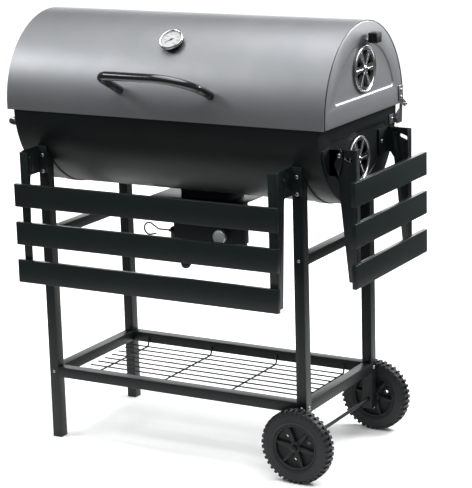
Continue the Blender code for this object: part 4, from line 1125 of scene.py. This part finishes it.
def floorMaterial():
    # pale everywhere to the eye; away from the grill it darkens in reflections only, as a small table would:
    # painted shade that dims what the black paint reflects
    material = bpy.data.materials.new("studio_floor")
    material.use_nodes = True
    tree = material.node_tree
    link = tree.links.new
    shader = tree.nodes["Principled BSDF"]
    coords = addNode(tree, "ShaderNodeTexCoord")
    noise = addNode(tree, "ShaderNodeTexNoise", Scale=3.0, Detail=4.0)
    link(coords.outputs["Object"], noise.inputs["Vector"])
    tone = addNode(tree, "ShaderNodeMix", {"A": grey(studio["floorTones"][0]),
                                           "B": grey(studio["floorTones"][1])}, data_type="RGBA")
    link(noise.outputs["Fac"], tone.inputs["Factor"])
    away = addNode(tree, "ShaderNodeVectorMath", operation="LENGTH")
    link(coords.outputs["Object"], away.inputs[0])
    spread = addNode(tree, "ShaderNodeMapRange",
                     {"From Min": studio["floorNear"], "From Max": studio["floorFar"]})
    link(away.outputs["Value"], spread.inputs["Value"])
    # painted shade: only rays that are not from the camera see the floor darken away from the grill
    ray = addNode(tree, "ShaderNodeLightPath")
    reflectionShadeMask = addNode(tree, "ShaderNodeMath", operation="SUBTRACT", use_clamp=True)
    link(spread.outputs["Result"], reflectionShadeMask.inputs[0])
    link(ray.outputs["Is Camera Ray"], reflectionShadeMask.inputs[1])
    ground = addNode(tree, "ShaderNodeMix", {"B": grey(studio["floorDark"])}, data_type="RGBA")
    link(reflectionShadeMask.outputs["Value"], ground.inputs["Factor"])
    link(tone.outputs["Result"], ground.inputs["A"])
    link(ground.outputs["Result"], shader.inputs["Base Color"])
    shader.inputs["Roughness"].default_value = 0.9
    shader.inputs["Specular IOR Level"].default_value = 0.1
    return material


def studioFloor():
    bm = bmesh.new()
    bmesh.ops.create_grid(bm, x_segments=1, y_segments=1, size=studio["floorSize"])
    mesh = plainMesh("floor", bm)
    mesh.materials.append(floorMaterial())
    floor = linked("floor", mesh)
    floor.location = (0, 0, -studio["floorDown"])


def studioLights():
    world = bpy.data.worlds.new("studio")
    bpy.context.scene.world = world
    world.use_nodes = True
    background = world.node_tree.nodes["Background"]
    background.inputs["Color"].default_value = studio["air"]
    background.inputs["Strength"].default_value = studio["world"]
    for name, place, target, width, height, watts in studio["lights"]:
        data = bpy.data.lights.new(name, "AREA")
        data.shape = "RECTANGLE"
        data.size = width
        data.size_y = height
        data.energy = watts
        lamp = linked(name, data)
        lamp.location = place
        lamp.rotation_euler = (Vector(target) - Vector(place)).to_track_quat("-Z", "Y").to_euler()
    data = bpy.data.lights.new("sky", "SUN")
    data.energy = studio["sun"]
    data.angle = math.radians(studio["sunSpread"])
    linked("sky", data).rotation_euler = (*(math.radians(turn) for turn in studio["sunTurn"]), 0)


view = {"place": (2.109, -3.552, 1.453), "yaw": 29.96, "pitch": 13.87, "roll": -1.68,
        "sensor": 36.0, "lens": 147.05, "shift": (0.0072, 0.0061), "far": 200.0}


def studioCamera():
    data = bpy.data.cameras.new("camera")
    data.sensor_fit = "HORIZONTAL"
    data.sensor_width = view["sensor"]
    data.lens = view["lens"]
    data.shift_x, data.shift_y = view["shift"]
    data.clip_end = view["far"]
    camera = linked("camera", data)
    yaw, pitch, roll = (math.radians(view[key]) for key in ("yaw", "pitch", "roll"))
    forward = Vector((-math.sin(yaw) * math.cos(pitch), math.cos(yaw) * math.cos(pitch), -math.sin(pitch)))
    right = Vector((math.cos(yaw), math.sin(yaw), 0.0))
    up = right.cross(forward)
    right, up = (right * math.cos(roll) + up * math.sin(roll), up * math.cos(roll) - right * math.sin(roll))
    turn = Matrix((right, up, -forward)).transposed().to_4x4()
    place = Vector(view["place"]) + Vector((0, axisY, 0))
    camera.matrix_world = Matrix.Translation(place) @ turn
    bpy.context.scene.camera = camera


studioFloor()
studioLights()
studioCamera()
bpy.context.scene.view_settings.view_transform = "Standard"
